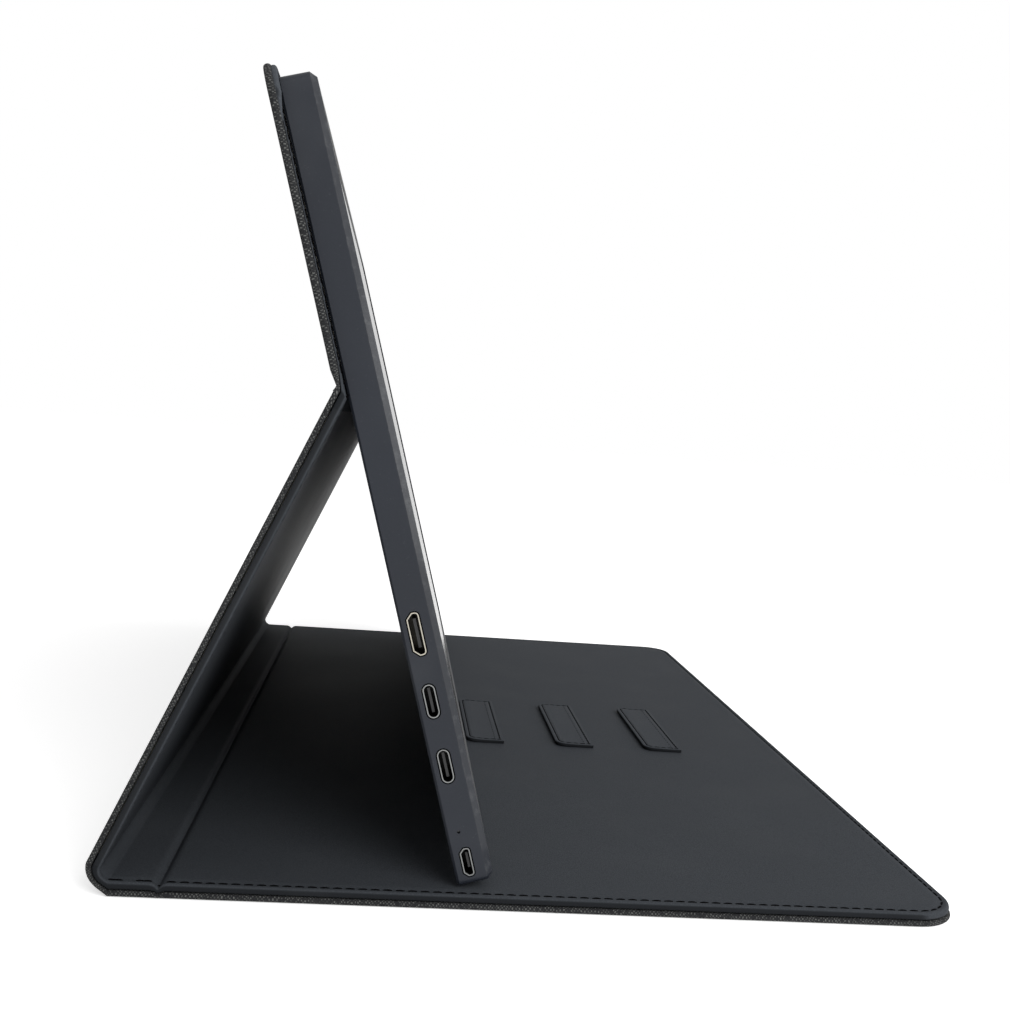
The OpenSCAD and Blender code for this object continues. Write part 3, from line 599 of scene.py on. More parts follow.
def weave_group():
    """Plain weave of a dark warp and a mixed weft: every weft float is a fleck of its own tone."""
    tree, kit, given = new_group(
        "Melange weave",
        {"Yarn Pitch": 0.0005, "Light Share": 0.7,
         "Dark": (0.02, 0.02, 0.02, 1), "Light": (0.2, 0.2, 0.2, 1)},
        ("Color", "Height", "Fleck"))
    vector, pitch = given["Vector"], given["Yarn Pitch"]
    sway = kit.add("ShaderNodeTexNoise", {"Vector": vector, "Scale": 520, "Detail": 1})
    bent = kit.add(
        "ShaderNodeVectorMath",
        {0: sway.outputs["Color"], 1: (0.0011, 0.0011, 0), 2: vector}, operation="MULTIPLY_ADD")
    place = kit.split(bent)
    u = kit.math("DIVIDE", place[0], kit.times(pitch, 1.2))
    v = kit.math("DIVIDE", place[1], pitch)
    row, column = kit.math("FLOOR", v), kit.math("FLOOR", u)
    slid = kit.plus(u, row)
    across = kit.math("WRAP", slid, 2.0, 0.0)
    along = kit.math("WRAP", kit.plus(v, column), 2.0, 0.0)
    weft = kit.math("LESS_THAN", across, 1.0)
    domes = []
    for run, side in ((across, kit.math("FRACT", v)), (kit.minus(along, 1.0), kit.math("FRACT", u))):
        long = kit.math("SINE", kit.times(kit.scaled(run, 0.8, 0.1), pi))
        short = kit.math("SINE", kit.times(side, pi))
        long, short = kit.math("POWER", long, 0.5, clamp=True), kit.math("POWER", short, 0.6, clamp=True)
        domes.append(kit.times(long, short))
    warp_dome = kit.times(kit.minus(1.0, weft), kit.times(domes[1], 0.8))
    cell = kit.add("ShaderNodeCombineXYZ", {0: kit.math("FLOOR", kit.times(slid, 0.5)), 1: row})
    own = kit.add("ShaderNodeTexWhiteNoise", {"Vector": cell}, noise_dimensions="3D").outputs["Value"]
    level = kit.scaled(kit.noise(vector, 700, 2), 0.5, kit.times(own, 0.75))
    edge = kit.minus(1.0, given["Light Share"])
    fleck = kit.times(weft, kit.steps(level, kit.minus(edge, 0.1), kit.plus(edge, 0.35)))
    shade = kit.times(kit.times(domes[0], domes[0]), fleck)
    kit.add("NodeGroupOutput", {
        "Color": kit.mix(shade, given["Dark"], given["Light"]),
        "Height": kit.plus(kit.times(weft, domes[0]), warp_dome), "Fleck": fleck})
    return tree


def grain_group():
    """Fine pressed grain of the lining, with soft wrinkles and tone changes."""
    tree, kit, given = new_group(
        "Pressed grain", {"Pebble Size": 0.0007, "Wrinkle": 0.4}, ("Height", "Tone", "Pore"))
    vector = given["Vector"]
    inputs = {"Vector": vector, "Scale": kit.math("DIVIDE", 1.0, given["Pebble Size"])}
    cells = kit.add("ShaderNodeTexVoronoi", inputs, feature="DISTANCE_TO_EDGE")
    pebble = kit.steps(cells.outputs["Distance"], 0.0, 0.22)
    stretched = kit.add("ShaderNodeMapping", {"Vector": vector, "Scale": (0.25, 1.0, 1.0)})
    waves = kit.times(kit.noise(stretched, 160, 3, 0.6), given["Wrinkle"])
    height = kit.scaled(pebble, 0.5, kit.times(kit.noise(vector, 2600, 3), 0.25))
    kit.add("NodeGroupOutput", {
        "Height": kit.scaled(waves, 1.6, height), "Tone": kit.noise(vector, 22, 3), "Pore": pebble})
    return tree


def dust_group():
    """A little dust and lint, in specks and faint patches."""
    tree, kit, given = new_group("Light dust", {"Amount": 0.5}, ("Mask",))
    specks = kit.steps(kit.noise(given["Vector"], 1500, 1), 0.70, 0.78)
    patch = kit.steps(kit.noise(given["Vector"], 30, 3), 0.45, 0.75)
    total = kit.scaled(patch, 0.35, kit.times(specks, 0.4))
    kit.add("NodeGroupOutput", {"Mask": kit.times(total, given["Amount"], clamp=True)})
    return tree


def paint_group():
    """Fine spray texture of the housing, and a lighter line along its bevel that is partly rubbed paint
    and partly a painted highlight.
    """
    tree, kit, given = new_group(
        "Satin paint", {"Half Width": 0.177, "Depth": 0.0093}, ("Height", "Tone", "Wear"))
    vector = given["Vector"]
    fine = kit.times(kit.noise(vector, 2400, 2), 0.4)
    place = kit.split(vector)
    side = kit.minus(given["Half Width"], kit.absolute(place[0]))
    face = kit.minus(given["Depth"], place[2])
    near = kit.minus(kit.plus(kit.absolute(side), kit.absolute(face)), 0.0016)
    # The line along the bevel, broken up below, is partly wear and partly a painted highlight
    band = kit.minus(1.0, kit.steps(kit.absolute(near), 0.0, 0.00035))
    rubbed = kit.steps(kit.noise(vector, 420, 4, 0.65), 0.5, 0.68)
    kit.add("NodeGroupOutput", {
        "Height": kit.noise(vector, 5200, 2),
        "Tone": kit.scaled(kit.noise(vector, 14, 3), 0.6, fine), "Wear": kit.times(band, rubbed)})
    return tree


# --- materials

GROUP_MAKERS = {"weave": weave_group, "grain": grain_group, "dust": dust_group, "paint": paint_group}
GROUPS = {}
METAL_STREAK = (40, 1, 1)
TONE_SPREAD = 0.2
FABRIC_DUST = (0.07, 0.07, 0.068, 1)
LINING_DUST = (0.07, 0.073, 0.078, 1)
PAINT_DUST = (0.10, 0.105, 0.11, 1)
WORN_AND_LIT_PAINT = (0.07, 0.074, 0.08, 1)
LIGHT_SHARE = 0.66
PAINT_WEAR_AND_HIGHLIGHT = 0.3
# In metres from the cover's side, where the painted shade on the side of the lining's rolled hem ends
SIDE_SHADE_BAND = (0.0005, 0.00075)
# In metres into the housing, over which a shell's colour fades into painted shade
SHELL_SHADE_FADE = (0.00005, 0.0008)


class Surface(Nodes):
    """Nodes of a material, whose constants are set on its Principled shader's own sockets."""

    def __init__(self, name, roughness=0.5, metallic=0.0, **constants):
        self.material = bpy.data.materials.new(name)
        self.material.use_nodes = True
        super().__init__(self.material.node_tree)
        self.shader = self.tree.nodes["Principled BSDF"].inputs
        constants.update(Roughness=roughness, Metallic=metallic)
        for key, value in constants.items():
            self.shader[key.replace("_", " ")].default_value = value

    def finish(self, color, height, depth, rough=None):
        """Links a colour, a bump of depth metres and, from (tone, gain, level), the roughness."""
        self.fill(self.shader["Base Color"], color)
        if rough:
            self.fill(self.shader["Roughness"], self.scaled(*rough))
        bump = self.add("ShaderNodeBump", {"Distance": depth, "Strength": 1.0, "Height": height})
        self.fill(self.shader["Normal"], bump)
        return self.material


def place_group(kit, name, vector, **values):
    """Outputs of a shared group, which is built the first time it is asked for."""
    if name not in GROUPS:
        GROUPS[name] = GROUP_MAKERS[name]()
    inputs = {key.replace("_", " "): value for key, value in values.items()}
    return kit.add("ShaderNodeGroup", {"Vector": vector, **inputs}, node_tree=GROUPS[name]).outputs


def dusted(kit, vector, amount, color, dust):
    return kit.mix(place_group(kit, "dust", vector, Amount=amount)["Mask"], color, dust)


def cloth_vector(kit):
    return kit.add("ShaderNodeAttribute", attribute_name="cloth").outputs["Vector"]


def object_vector(kit):
    return kit.add("ShaderNodeTexCoord").outputs["Object"]


def monitor_vector(kit):
    """Object coordinates turned into the monitor's own frame."""
    turned = (pi / 2 - LEAN, 0, 0)
    inputs = {"Vector": object_vector(kit), "Location": SEAT * MM, "Rotation": turned}
    return kit.add("ShaderNodeMapping", inputs, vector_type="TEXTURE").outputs[0]


def rgba(c, gain=1.0):
    return (c[0] * gain, c[1] * gain, c[2] * gain, 1)


def fabric_material(look):
    kit = Surface("Melange fabric", 0.85, Specular_IOR_Level=0.15)
    vector = cloth_vector(kit)
    weave = place_group(kit, "weave", vector, Yarn_Pitch=look.thread_pitch * MM, Light_Share=LIGHT_SHARE,
                        Dark=rgba(look.yarn_dark), Light=rgba(look.yarn_light))
    color = dusted(kit, vector, 0.35, weave["Color"], FABRIC_DUST)
    return kit.finish(color, weave["Height"], 0.00018, (weave["Fleck"], -0.12, 0.9))


def lining_material(look, name="Lining", gain=1.0, pebble=0.0007, edge=None, sheen=0.03, rough=0.62):
    """Pressed lining with painted shade on the sides of its rolled hem and, for a tab, below the height
    edge.
    """
    kit = Surface(name, 0.7, Specular_IOR_Level=sheen)
    vector = cloth_vector(kit)
    grain = place_group(kit, "grain", vector, Pebble_Size=pebble, Wrinkle=0.35)
    c = look.lining_colour
    tone = kit.mix(grain["Tone"], rgba(c, 0.82 * gain), rgba(c, 1.2 * gain))
    pored_and_shaded = kit.mix(grain["Pore"], rgba(c, 0.84 * gain), tone)
    inside = kit.minus(HALF_W * MM, kit.absolute(kit.split(object_vector(kit))[0]))
    # Painted shade: the side of the rolled hem next to the cover's edge is darkened
    pored_and_shaded = kit.mix(kit.steps(inside, *SIDE_SHADE_BAND, 1.0, 0.0), pored_and_shaded, rgba(c, 0.34))
    if edge:
        # Painted shade: a tab's sides, below its top, are darkened
        side_shade = kit.steps(kit.split(vector)[2], (edge - 0.3) * MM, edge * MM, 1.0, 0.0)
        pored_and_shaded = kit.mix(side_shade, pored_and_shaded, rgba(c, 0.3))
    color = dusted(kit, vector, 0.25, pored_and_shaded, LINING_DUST)
    return kit.finish(color, grain["Height"], 0.00003, (grain["Tone"], 0.12, rough))


def banded(kit, vector, scale, direction):
    node = kit.add("ShaderNodeTexWave", {"Vector": vector, "Scale": scale}, bands_direction=direction)
    return node.outputs["Fac"]


def thread_material(look):
    kit = Surface("Thread", 0.9, Specular_IOR_Level=0.02)
    twist = banded(kit, object_vector(kit), 900, "DIAGONAL")
    c = look.thread_colour
    return kit.finish(kit.mix(twist, rgba(c, 0.6), rgba(c, 1.5)), twist, 0.00005)


def paint_material(look, name, gain=1.0, rough=0.42, coat=0.0):
    kit = Surface(name, rough, Specular_IOR_Level=0.25, Coat_Roughness=0.06, Coat_Weight=coat)
    vector = monitor_vector(kit)
    paint = place_group(kit, "paint", vector, Half_Width=MONITOR_W / 2 * MM, Depth=MONITOR_T * MM)
    c = look.housing_colour
    tone = kit.mix(paint["Tone"], rgba(c, 0.7 * gain), rgba(c, 1.32 * gain))
    # Lighter paint along the bevel: partly wear, partly a painted highlight
    worn_and_lit = kit.mix(kit.times(paint["Wear"], PAINT_WEAR_AND_HIGHLIGHT), tone, WORN_AND_LIT_PAINT)
    color = dusted(kit, vector, 0.25, worn_and_lit, PAINT_DUST)
    return kit.finish(color, paint["Height"], 0.000012, (paint["Tone"], 0.12, rough - 0.06))


def screen_material(look):
    kit = Surface("Screen", 0.2, Specular_IOR_Level=0.5, Coat_Roughness=0.16, Coat_Weight=0.2)
    vector = monitor_vector(kit)
    smudge = kit.steps(kit.noise(vector, 26, 4, 0.6), 0.45, 0.8)
    color = kit.mix(smudge, rgba(look.screen_colour), rgba(look.screen_colour, 1.5))
    return kit.finish(color, kit.noise(vector, 7000, 1), 0.000001, (smudge, 0.06, 0.19))


def metal_material(name, c, rough=0.3, inner_shade=1.0):
    """Plated metal with fine streaks and dull patches; painted shade can darken it far inside the
    housing.
    """
    kit = Surface(name, rough, 1.0)
    vector = monitor_vector(kit)
    drawn = kit.add("ShaderNodeMapping", {"Vector": vector, "Scale": METAL_STREAK})
    streaks = kit.noise(drawn, 300, 3)
    depth = kit.minus(MONITOR_W / 2 * MM, kit.absolute(kit.split(vector)[0]))
    # Painted shade: the shell darkens inside the socket, where shade falls
    shade = kit.steps(depth, *SHELL_SHADE_FADE, 1.0, inner_shade)
    inner_shade_grey = kit.add("ShaderNodeCombineXYZ", {0: shade, 1: shade, 2: shade}).outputs[0]
    plated = kit.mix(kit.noise(vector, 180, 3), rgba(c, 0.8), rgba(c, 1.1))
    color = kit.mix(1.0, plated, inner_shade_grey, "MULTIPLY")
    return kit.finish(color, streaks, 0.000006, (streaks, 0.22, rough - 0.08))


def moulded_material(name, c, rough=0.5, fine=3000, patch=60, depth=0.00001):
    """Moulded or coated part: fine surface texture with a soft change of tone."""
    kit = Surface(name, rough)
    vector = monitor_vector(kit)
    tone = kit.noise(vector, patch, 3)
    color = kit.mix(tone, rgba(c, 1 - TONE_SPREAD), rgba(c, 1 + TONE_SPREAD))
    return kit.finish(color, kit.noise(vector, fine, 2), depth, (tone, 0.14, rough - 0.07))


def board_material():
    """Solder mask with copper tracks and pads."""
    kit = Surface("Circuit board", 0.35)
    vector = monitor_vector(kit)
    tracks = kit.add("ShaderNodeTexBrick", {"Vector": vector, "Scale": 260, "Mortar Size": 0.03})
    tracks = tracks.outputs["Fac"]
    pads = kit.add("ShaderNodeTexVoronoi", {"Vector": vector, "Scale": 420})
    pad = kit.math("LESS_THAN", pads.outputs["Distance"], 0.22)
    mask = kit.mix(tracks, (0.012, 0.09, 0.045, 1), (0.03, 0.16, 0.08, 1))
    kit.fill(kit.shader["Metallic"], kit.times(pad, 0.9))
    return kit.finish(kit.mix(pad, mask, (0.45, 0.42, 0.33, 1)), tracks, 0.00002)


def ribbon_material():
    """Amber film with parallel conductors."""
    kit = Surface("Ribbon film", 0.3)
    bands = banded(kit, monitor_vector(kit), 500, "Y")
    return kit.finish(kit.mix(bands, (0.36, 0.17, 0.035, 1), (0.55, 0.30, 0.08, 1)), bands, 0.00001)


def board_core_material():
    """Grey pressed board with fibres."""
    kit = Surface("Stiffener board", 0.9)
    vector = object_vector(kit)
    fibres = kit.noise(vector, 900, 5, 0.7)
    flecks = kit.steps(kit.noise(vector, 2400, 2), 0.62, 0.7)
    base = kit.mix(fibres, (0.13, 0.12, 0.10, 1), (0.26, 0.24, 0.20, 1))
    return kit.finish(kit.mix(flecks, base, (0.05, 0.045, 0.04, 1)), fibres, 0.00008)


def dress(material, *nodes):
    """Puts a material on carried-over solids."""
    for name in nodes:
        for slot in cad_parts[name].material_slots:
            slot.link = "OBJECT"
            slot.material = material


# --- stitches

# Inputs of the stitch tree and their defaults, in metres and radians
STITCH_SIZES = {"Pitch": 0.0032, "Stitch Length": 0.0023, "Thread Radius": 0.0002,
                "Rise": 0.00012, "Jitter": 0.06}
# Share of the jitter about a stitch's length, its width and its upright
JITTER_SHARES = (0.3, 0.3, 1.0)
JITTER = 0.05
# How far the cover's stitches stand up, in millimetres
COVER_RISE = 0.10
# Half the height over which the way out of a surface is measured
PROBE = 0.05


def stitch_tree():
    """Geometry Nodes: one thread bridge every pitch along each line, lying on the surface."""
    tree = bpy.data.node_groups.new("Stitch row", "GeometryNodeTree")
    socket(tree, "Geometry", "NodeSocketGeometry")
    for label, value in STITCH_SIZES.items():
        socket(tree, label, FLOAT, "INPUT", value)
    socket(tree, "Seed", "NodeSocketInt", "INPUT", 7)
    socket(tree, "Thread", "NodeSocketMaterial")
    socket(tree, "Geometry", "NodeSocketGeometry", "OUTPUT")
    kit = Nodes(tree)
    given = kit.add("NodeGroupInput").outputs
    line = kit.add("GeometryNodeMeshToCurve", {"Mesh": given["Geometry"]})
    even = kit.add("GeometryNodeResampleCurve", {"Curve": line, "Length": given["Pitch"]}, mode="LENGTH")
    up = kit.add("GeometryNodeInputNamedAttribute", {"Name": "up"}, data_type="FLOAT_VECTOR")
    align = "FunctionNodeAlignRotationToVector"
    stand = kit.add(align, {"Vector": up.outputs["Attribute"]}, axis="Z")
    tangent = kit.add("GeometryNodeInputTangent")
    along = kit.add(align, {"Rotation": stand, "Vector": tangent}, axis="X", pivot_axis="Z")
    low, high = [
        kit.add("ShaderNodeCombineXYZ", {
            i: kit.times(given["Jitter"], way * share) for i, share in enumerate(JITTER_SHARES)})
        for way in (-1.0, 1.0)]
    limits = {"Min": low, "Max": high, "Seed": given["Seed"]}
    wobble = kit.add("FunctionNodeRandomValue", limits, data_type="FLOAT_VECTOR")
    euler = kit.add("FunctionNodeEulerToRotation", {0: wobble.outputs["Value"]})
    turned = kit.add(
        "FunctionNodeRotateRotation", {"Rotation": along, "Rotate By": euler}, rotation_space="LOCAL")
    half, drop = kit.times(given["Stitch Length"], 0.5), kit.times(given["Rise"], -1.0)
    bridge = kit.add("GeometryNodeCurveQuadraticBezier", {
        "Resolution": 4,
        "Start": kit.add("ShaderNodeCombineXYZ", {0: kit.times(half, -1.0), 2: drop}),
        "Middle": kit.add("ShaderNodeCombineXYZ", {2: kit.times(given["Rise"], 2.2)}),
        "End": kit.add("ShaderNodeCombineXYZ", {0: half, 2: drop})})
    ring = kit.add(
        "GeometryNodeCurvePrimitiveCircle", {"Resolution": 6, "Radius": given["Thread Radius"]})
    thread = kit.add(
        "GeometryNodeCurveToMesh", {"Curve": bridge, "Profile Curve": ring, "Fill Caps": True})
    spots = {"Points": even, "Instance": thread, "Rotation": turned}
    real = kit.add("GeometryNodeRealizeInstances", {0: kit.add("GeometryNodeInstanceOnPoints", spots)})
    smooth = kit.add("GeometryNodeSetShadeSmooth", {0: real})
    painted = kit.add("GeometryNodeSetMaterial", {"Geometry": smooth, "Material": given["Thread"]})
    kit.add("NodeGroupOutput", {0: painted})
    return tree


def baked(source, tree, values):
    """Runs a Geometry Nodes tree on an object and returns the result as a plain mesh object."""
    modifier = source.modifiers.new("nodes", "NODES")
    modifier.node_group = tree
    for item in tree.interface.items_tree:
        if item.in_out == "INPUT" and item.name in values:
            modifier[item.identifier] = values[item.name]
    graph = bpy.context.evaluated_depsgraph_get()
    mesh = bpy.data.meshes.new_from_object(source.evaluated_get(graph))
    name = source.name.replace("_lines", "")
    old = source.data
    bpy.data.objects.remove(source)
    bpy.data.meshes.remove(old)
    mesh.name = name
    return new_object(name, mesh)


def line_object(name, lines):
    """Edges for the stitches to follow, each point with the direction away from the surface."""
    points, edges, ups = [], [], []
    for line in lines:
        first = len(points)
        for at, up in line:
            points.append(at * MM)
            ups.extend(up)
        edges += [(i, i + 1) for i in range(first, len(points) - 1)]
    mesh = bpy.data.meshes.new(name)
    mesh.from_pydata(points, edges, [])
    mesh.attributes.new("up", "FLOAT_VECTOR", "POINT").data.foreach_set("vector", ups)
    return new_object(name, mesh)


def sewn(name, lines, tree, thread, seed, pitch, length, radius, rise):
    """Stitches along lines; pitch, length, radius and rise are in millimetres."""
    return baked(line_object(f"{name}_lines", lines), tree, {
        "Pitch": pitch * MM, "Stitch Length": length * MM, "Thread Radius": radius * MM,
        "Rise": rise * MM, "Jitter": JITTER, "Seed": seed, "Thread": thread})


def seam_lines(place, stations, end_r, height, inset, outside):
    """Lines of stitches on one face of a panel or fold, inset from its edges."""

    def point(x, v):
        at = place(v, height)
        up = (place(v, height + PROBE) - place(v, height - PROBE)).normalized()
        return Vector((x, at.y, at.z)), (-up if outside else up)

    if end_r:
        outline = end_outline(stations[0], stations[1], end_r)
        return [[point(x - inset * n[0], v - inset * n[1]) for x, v, n in outline]]
    return [[point(side * (HALF_W - inset), v) for v in stations] for side in (-1, 1)]


# --- operators


class COVER_OT_outer(bpy.types.Operator):
    """Make the outer fabric of every panel and fold"""

    bl_idname = "portable_monitor.outer_cover"
    bl_label = "Outer fabric"

    def execute(self, context):
        material = fabric_material(context.scene.cover_looks)
        cover_layer(context, "fabric", material)
        return {"FINISHED"}


class COVER_OT_lining(bpy.types.Operator):
    """Make the lining of every panel and fold"""

    bl_idname = "portable_monitor.lining"
    bl_label = "Lining"

    def execute(self, context):
        look = context.scene.cover_looks
        rubbed = lining_material(look, "Leg lining", sheen=0.07, rough=0.48)
        cover_layer(context, "lining", lining_material(look), rubbed)
        return {"FINISHED"}


class COVER_OT_top_roll(bpy.types.Operator):
    """Make the lining's rolled edge that shows above the monitor"""

    bl_idname = "portable_monitor.top_roll"
    bl_label = "Top roll"

    reach = 16
    inset = 1.35
    tapers = 5
    sides = 12
    # Half width, half height and lift: at the roll's ends, and what is added at full size
    width, height, lift = (0.35, 0.45), (0.25, 0.7), (-0.95, 0.55)

    def execute(self, context):
        path = self.path()
        points, flats = [], []
        for x, v, n, size in path:
            for k in range(self.sides):
                a = 2 * pi * k / self.sides
                wide = (self.width[0] + self.width[1] * size) * cos(a)
                tall = (self.height[0] + self.height[1] * size) * sin(a)
                at = back_at(v + wide * n[1], tall + self.lift[0] + self.lift[1] * size)
                points.append(Vector((x + wide * n[0], at.y, at.z)))
                flats.append((x + wide, v + tall, 0))
        faces = ring_faces(len(path), self.sides)
        faces.append(tuple(reversed(range(self.sides))))
        faces.append(tuple(range(len(points) - self.sides, len(points))))
        obj = make_object("lining_top_roll", points, faces, flats)
        clean_normals(obj)
        material = lining_material(context.scene.cover_looks, "Roll lining", 1.4)
        finish_piece(obj, material, "display")
        return {"FINISHED"}

    def path(self):
        """Middle of the roll, growing from both of its ends: (x, v, normal, size)."""
        path = [(x - self.inset * n[0], v - self.inset * n[1], n, 1.0)
                for x, v, n in end_outline(UPPER_END - self.reach, UPPER_END, UPPER_CORNER_R)]
        (x, low, n, _), high = path[0], path[1][1]
        shares = [i / self.tapers for i in range(self.tapers)]
        taper = [(x, low + share * (high - low), n, share) for share in shares]
        mirrored = [(-x, v, (-n[0], n[1]), size) for x, v, n, size in reversed(taper)]
        return taper + path[1:-1] + mirrored


class COVER_OT_stitches(bpy.types.Operator):
    """Sew the seams round the cover, on both of its faces"""

    bl_idname = "portable_monitor.stitches"
    bl_label = "Cover stitches"

    def execute(self, context):
        look = context.scene.cover_looks
        tree, material = stitch_tree(), thread_material(look)
        depth, inset = look.seam_depth, look.seam_inset
        for seed, (name, place, _cloth, stations, end_r, _node, body) in enumerate(PANELS, 3):
            if name in ("spine", "leg"):
                stations = (stations[0] + BEND_CLEAR, stations[-1] - BEND_CLEAR)
            lines = seam_lines(place, stations, end_r, COVER_T - depth, inset, False)
            lines += seam_lines(place, stations, end_r, depth, inset, True)
            obj = sewn(f"stitches_{name}", lines, tree, material, seed,
                       look.stitch_pitch, look.stitch_length, look.thread_radius, COVER_RISE)
            finish_piece(obj, material, body)
        context.scene["stitch_tree"] = tree.name
        return {"FINISHED"}


# Shares of a tab's width that are sewn down and free, and of its lift that the free part has
TAB_SEWN, TAB_FREE, TAB_RISE = 0.3, 0.7, 0.45


def tab_height(y, y0):
    """Height of a tab's underside above the lining: sewn down in front, standing up behind."""
    t = min(1.0, max(0.0, (y - y0 - TAB_W * TAB_SEWN) / (TAB_W * TAB_FREE)))
    return TAB_RISE * TAB_LIFT * t * t * (3 - 2 * t)


class COVER_OT_tabs(bpy.types.Operator):
    """Make the three sewn tabs that stop the monitor's lower edge"""

    bl_idname = "portable_monitor.tabs"
    bl_label = "Stand tabs"

    # Pitch, length, radius and rise of the stitches
    stitches = (2.6, 2.0, 0.2, 0.08)
    seam_inset = 1.55
    seam_step = 1.5
    thread_depth = 0.16
    front_rows = (1.3, 3.4)
    corner_steps = 8
    # An edge that rises more than side_min is a side, which has levels
    side_min = 4
    levels = 10
    probe = 0.1
    # Rings from the underside round the rounded edge to the crowned top: inset and height
    rings = ((0.9, 0.0), (0.25, 0.0), (0.07, 0.12), (0.0, 0.35), (0.0, TAB_T - 0.4), (0.1, TAB_T - 0.13),
             (0.4, TAB_T), (1.15, TAB_T - 0.04), (seam_inset, TAB_T - 0.26), (1.95, TAB_T - 0.04),
             (2.6, TAB_T))

    def execute(self, context):
        look = context.scene.cover_looks
        # The tab lining gets painted shade on the tab's sides, below its top
        material = lining_material(look, "Tab lining", 1.08, 0.0006, TAB_T - 0.05)
        thread = thread_material(look)
        tree = bpy.data.node_groups[context.scene["stitch_tree"]]
        for row, node in enumerate(("tab_front_row", "tab_middle_row", "tab_rear_row")):
            y0 = FRONT_Y + TAB_FRONT + row * TAB_PITCH
            obj = self.tab(f"stand_tab_{row + 1}", y0)
            finish_piece(obj, material, "base", (node,))
            rows = self.seams(y0)
            rows = sewn(f"tab_stitches_{row + 1}", rows, tree, thread, row + 20, *self.stitches)
            finish_piece(rows, thread, "base")
        return {"FINISHED"}

    def outline(self, y0, inset):
        """Rear corners rounded, from the front left corner round the back: (x, y)."""
        w, r = TAB_L / 2, TAB_CORNER_R
        points = [(-w + inset, y0 + inset)]
        for side in (-1, 1):
            for i in range(self.corner_steps + 1):
                c = corner_normal(side, pi / 2 * i / self.corner_steps)
                points.append((side * (w - r) + (r - inset) * c[0], y0 + TAB_W - r + (r - inset) * c[1]))
        points.append((w - inset, y0 + inset))
        return points

    def tab(self, name, y0):
        """One tab, from its rings; its sides have as many levels, in rows across."""
        points, flats = [], []
        for inset, height in self.rings:
            outline = self.outline(y0, inset)
            dense = []
            for (ax, ay), (bx, by) in zip(outline, outline[1:] + outline[:1]):
                n = self.levels if abs(by - ay) > self.side_min else 1
                dense += [(ax + (bx - ax) * i / n, ay + (by - ay) * i / n) for i in range(n)]
            for x, y in dense:
                points.append(Vector((TAB_SHIFT + x, y, COVER_T + tab_height(y, y0) + height)))
                flats.append((x, y, height))
        count = len(dense)
        faces = ring_faces(len(self.rings), count)
        # The underside and the top are closed row by row, and behind the last row in one piece
        for first, under in ((0, True), ((len(self.rings) - 1) * count, False)):
            rows = [(first + i, first + count - 1 - i) for i in range(self.levels)]
            for (a, b), (c, d) in zip(rows, rows[1:]):
                faces.append((a, b, d, c) if under else (a, c, d, b))
            rest = range(rows[-1][0], rows[-1][1] + 1)
            faces.append(tuple(rest if under else reversed(rest)))
        obj = make_object(name, points, faces, flats)
        clean_normals(obj)
        return obj

    def seams(self, y0):
        """Double row at the sewn front edge and one row round the free edges."""

        def at(x, y):
            rise = tab_height(y + self.probe, y0) - tab_height(y - self.probe, y0)
            up = Vector((0, -rise / (2 * self.probe), 1)).normalized()
            z = COVER_T + tab_height(y, y0) + TAB_T - self.thread_depth
            return Vector((TAB_SHIFT + x, y, z)), up

        w = TAB_L / 2 - self.seam_inset
        front = [[at(x, y0 + d) for x in (-w, w)] for d in self.front_rows]
        free = [at(x, y) for x, y in self.outline(y0, self.seam_inset)]
        dense = []
        for (a, _), (b, _) in zip(free, free[1:]):
            n = max(1, round((b - a).length / self.seam_step))
            for i in range(n):
                p = a.lerp(b, i / n)
                dense.append(at(p.x - TAB_SHIFT, p.y))
        return front + [dense]


class MONITOR_OT_body(bpy.types.Operator):
    """Paint the housing and the frame and finish the screen"""

    bl_idname = "portable_monitor.body"
    bl_label = "Monitor body"

    def execute(self, context):
        look = context.scene.monitor_looks
        dress(paint_material(look, "Housing paint"), "rear_housing")
        dress(paint_material(look, "Frame paint", 0.8, 0.4, 0.2), "front_frame")
        dress(screen_material(look), "screen_cell")
        dress(moulded_material("Frame tape", (0.012, 0.012, 0.013), 0.7), "frame_tape")
        button = moulded_material("Button cap", (0.030, 0.032, 0.040), 0.36, 4000, 80)
        dress(button, "power_button", "menu_up_button", "menu_down_button")
        return {"FINISHED"}


class MONITOR_OT_sockets(bpy.types.Operator):
    """Finish the sockets, their tongues and the status light"""

    bl_idname = "portable_monitor.sockets"
    bl_label = "Sockets"

    def execute(self, context):
        look = context.scene.monitor_looks
        # The shells are darkened inside the sockets with painted shade
        dress(metal_material("Video shell", look.shell_colour, 0.34, inner_shade=0.06), "video_socket")
        shell = metal_material("Socket shell", look.dull_shell_colour, 0.4, inner_shade=0.06)
        dress(shell, "oval_socket_upper", "oval_socket_lower", "power_socket")
        dress(moulded_material("Tongue", (0.012, 0.012, 0.013), 0.4), "socket_tongues")
        dress(moulded_material("Light pipe", (0.012, 0.014, 0.018), 0.3), "status_light")
        dress(moulded_material("Headphone socket", (0.014, 0.014, 0.016), 0.45), "headphone_socket")
        return {"FINISHED"}


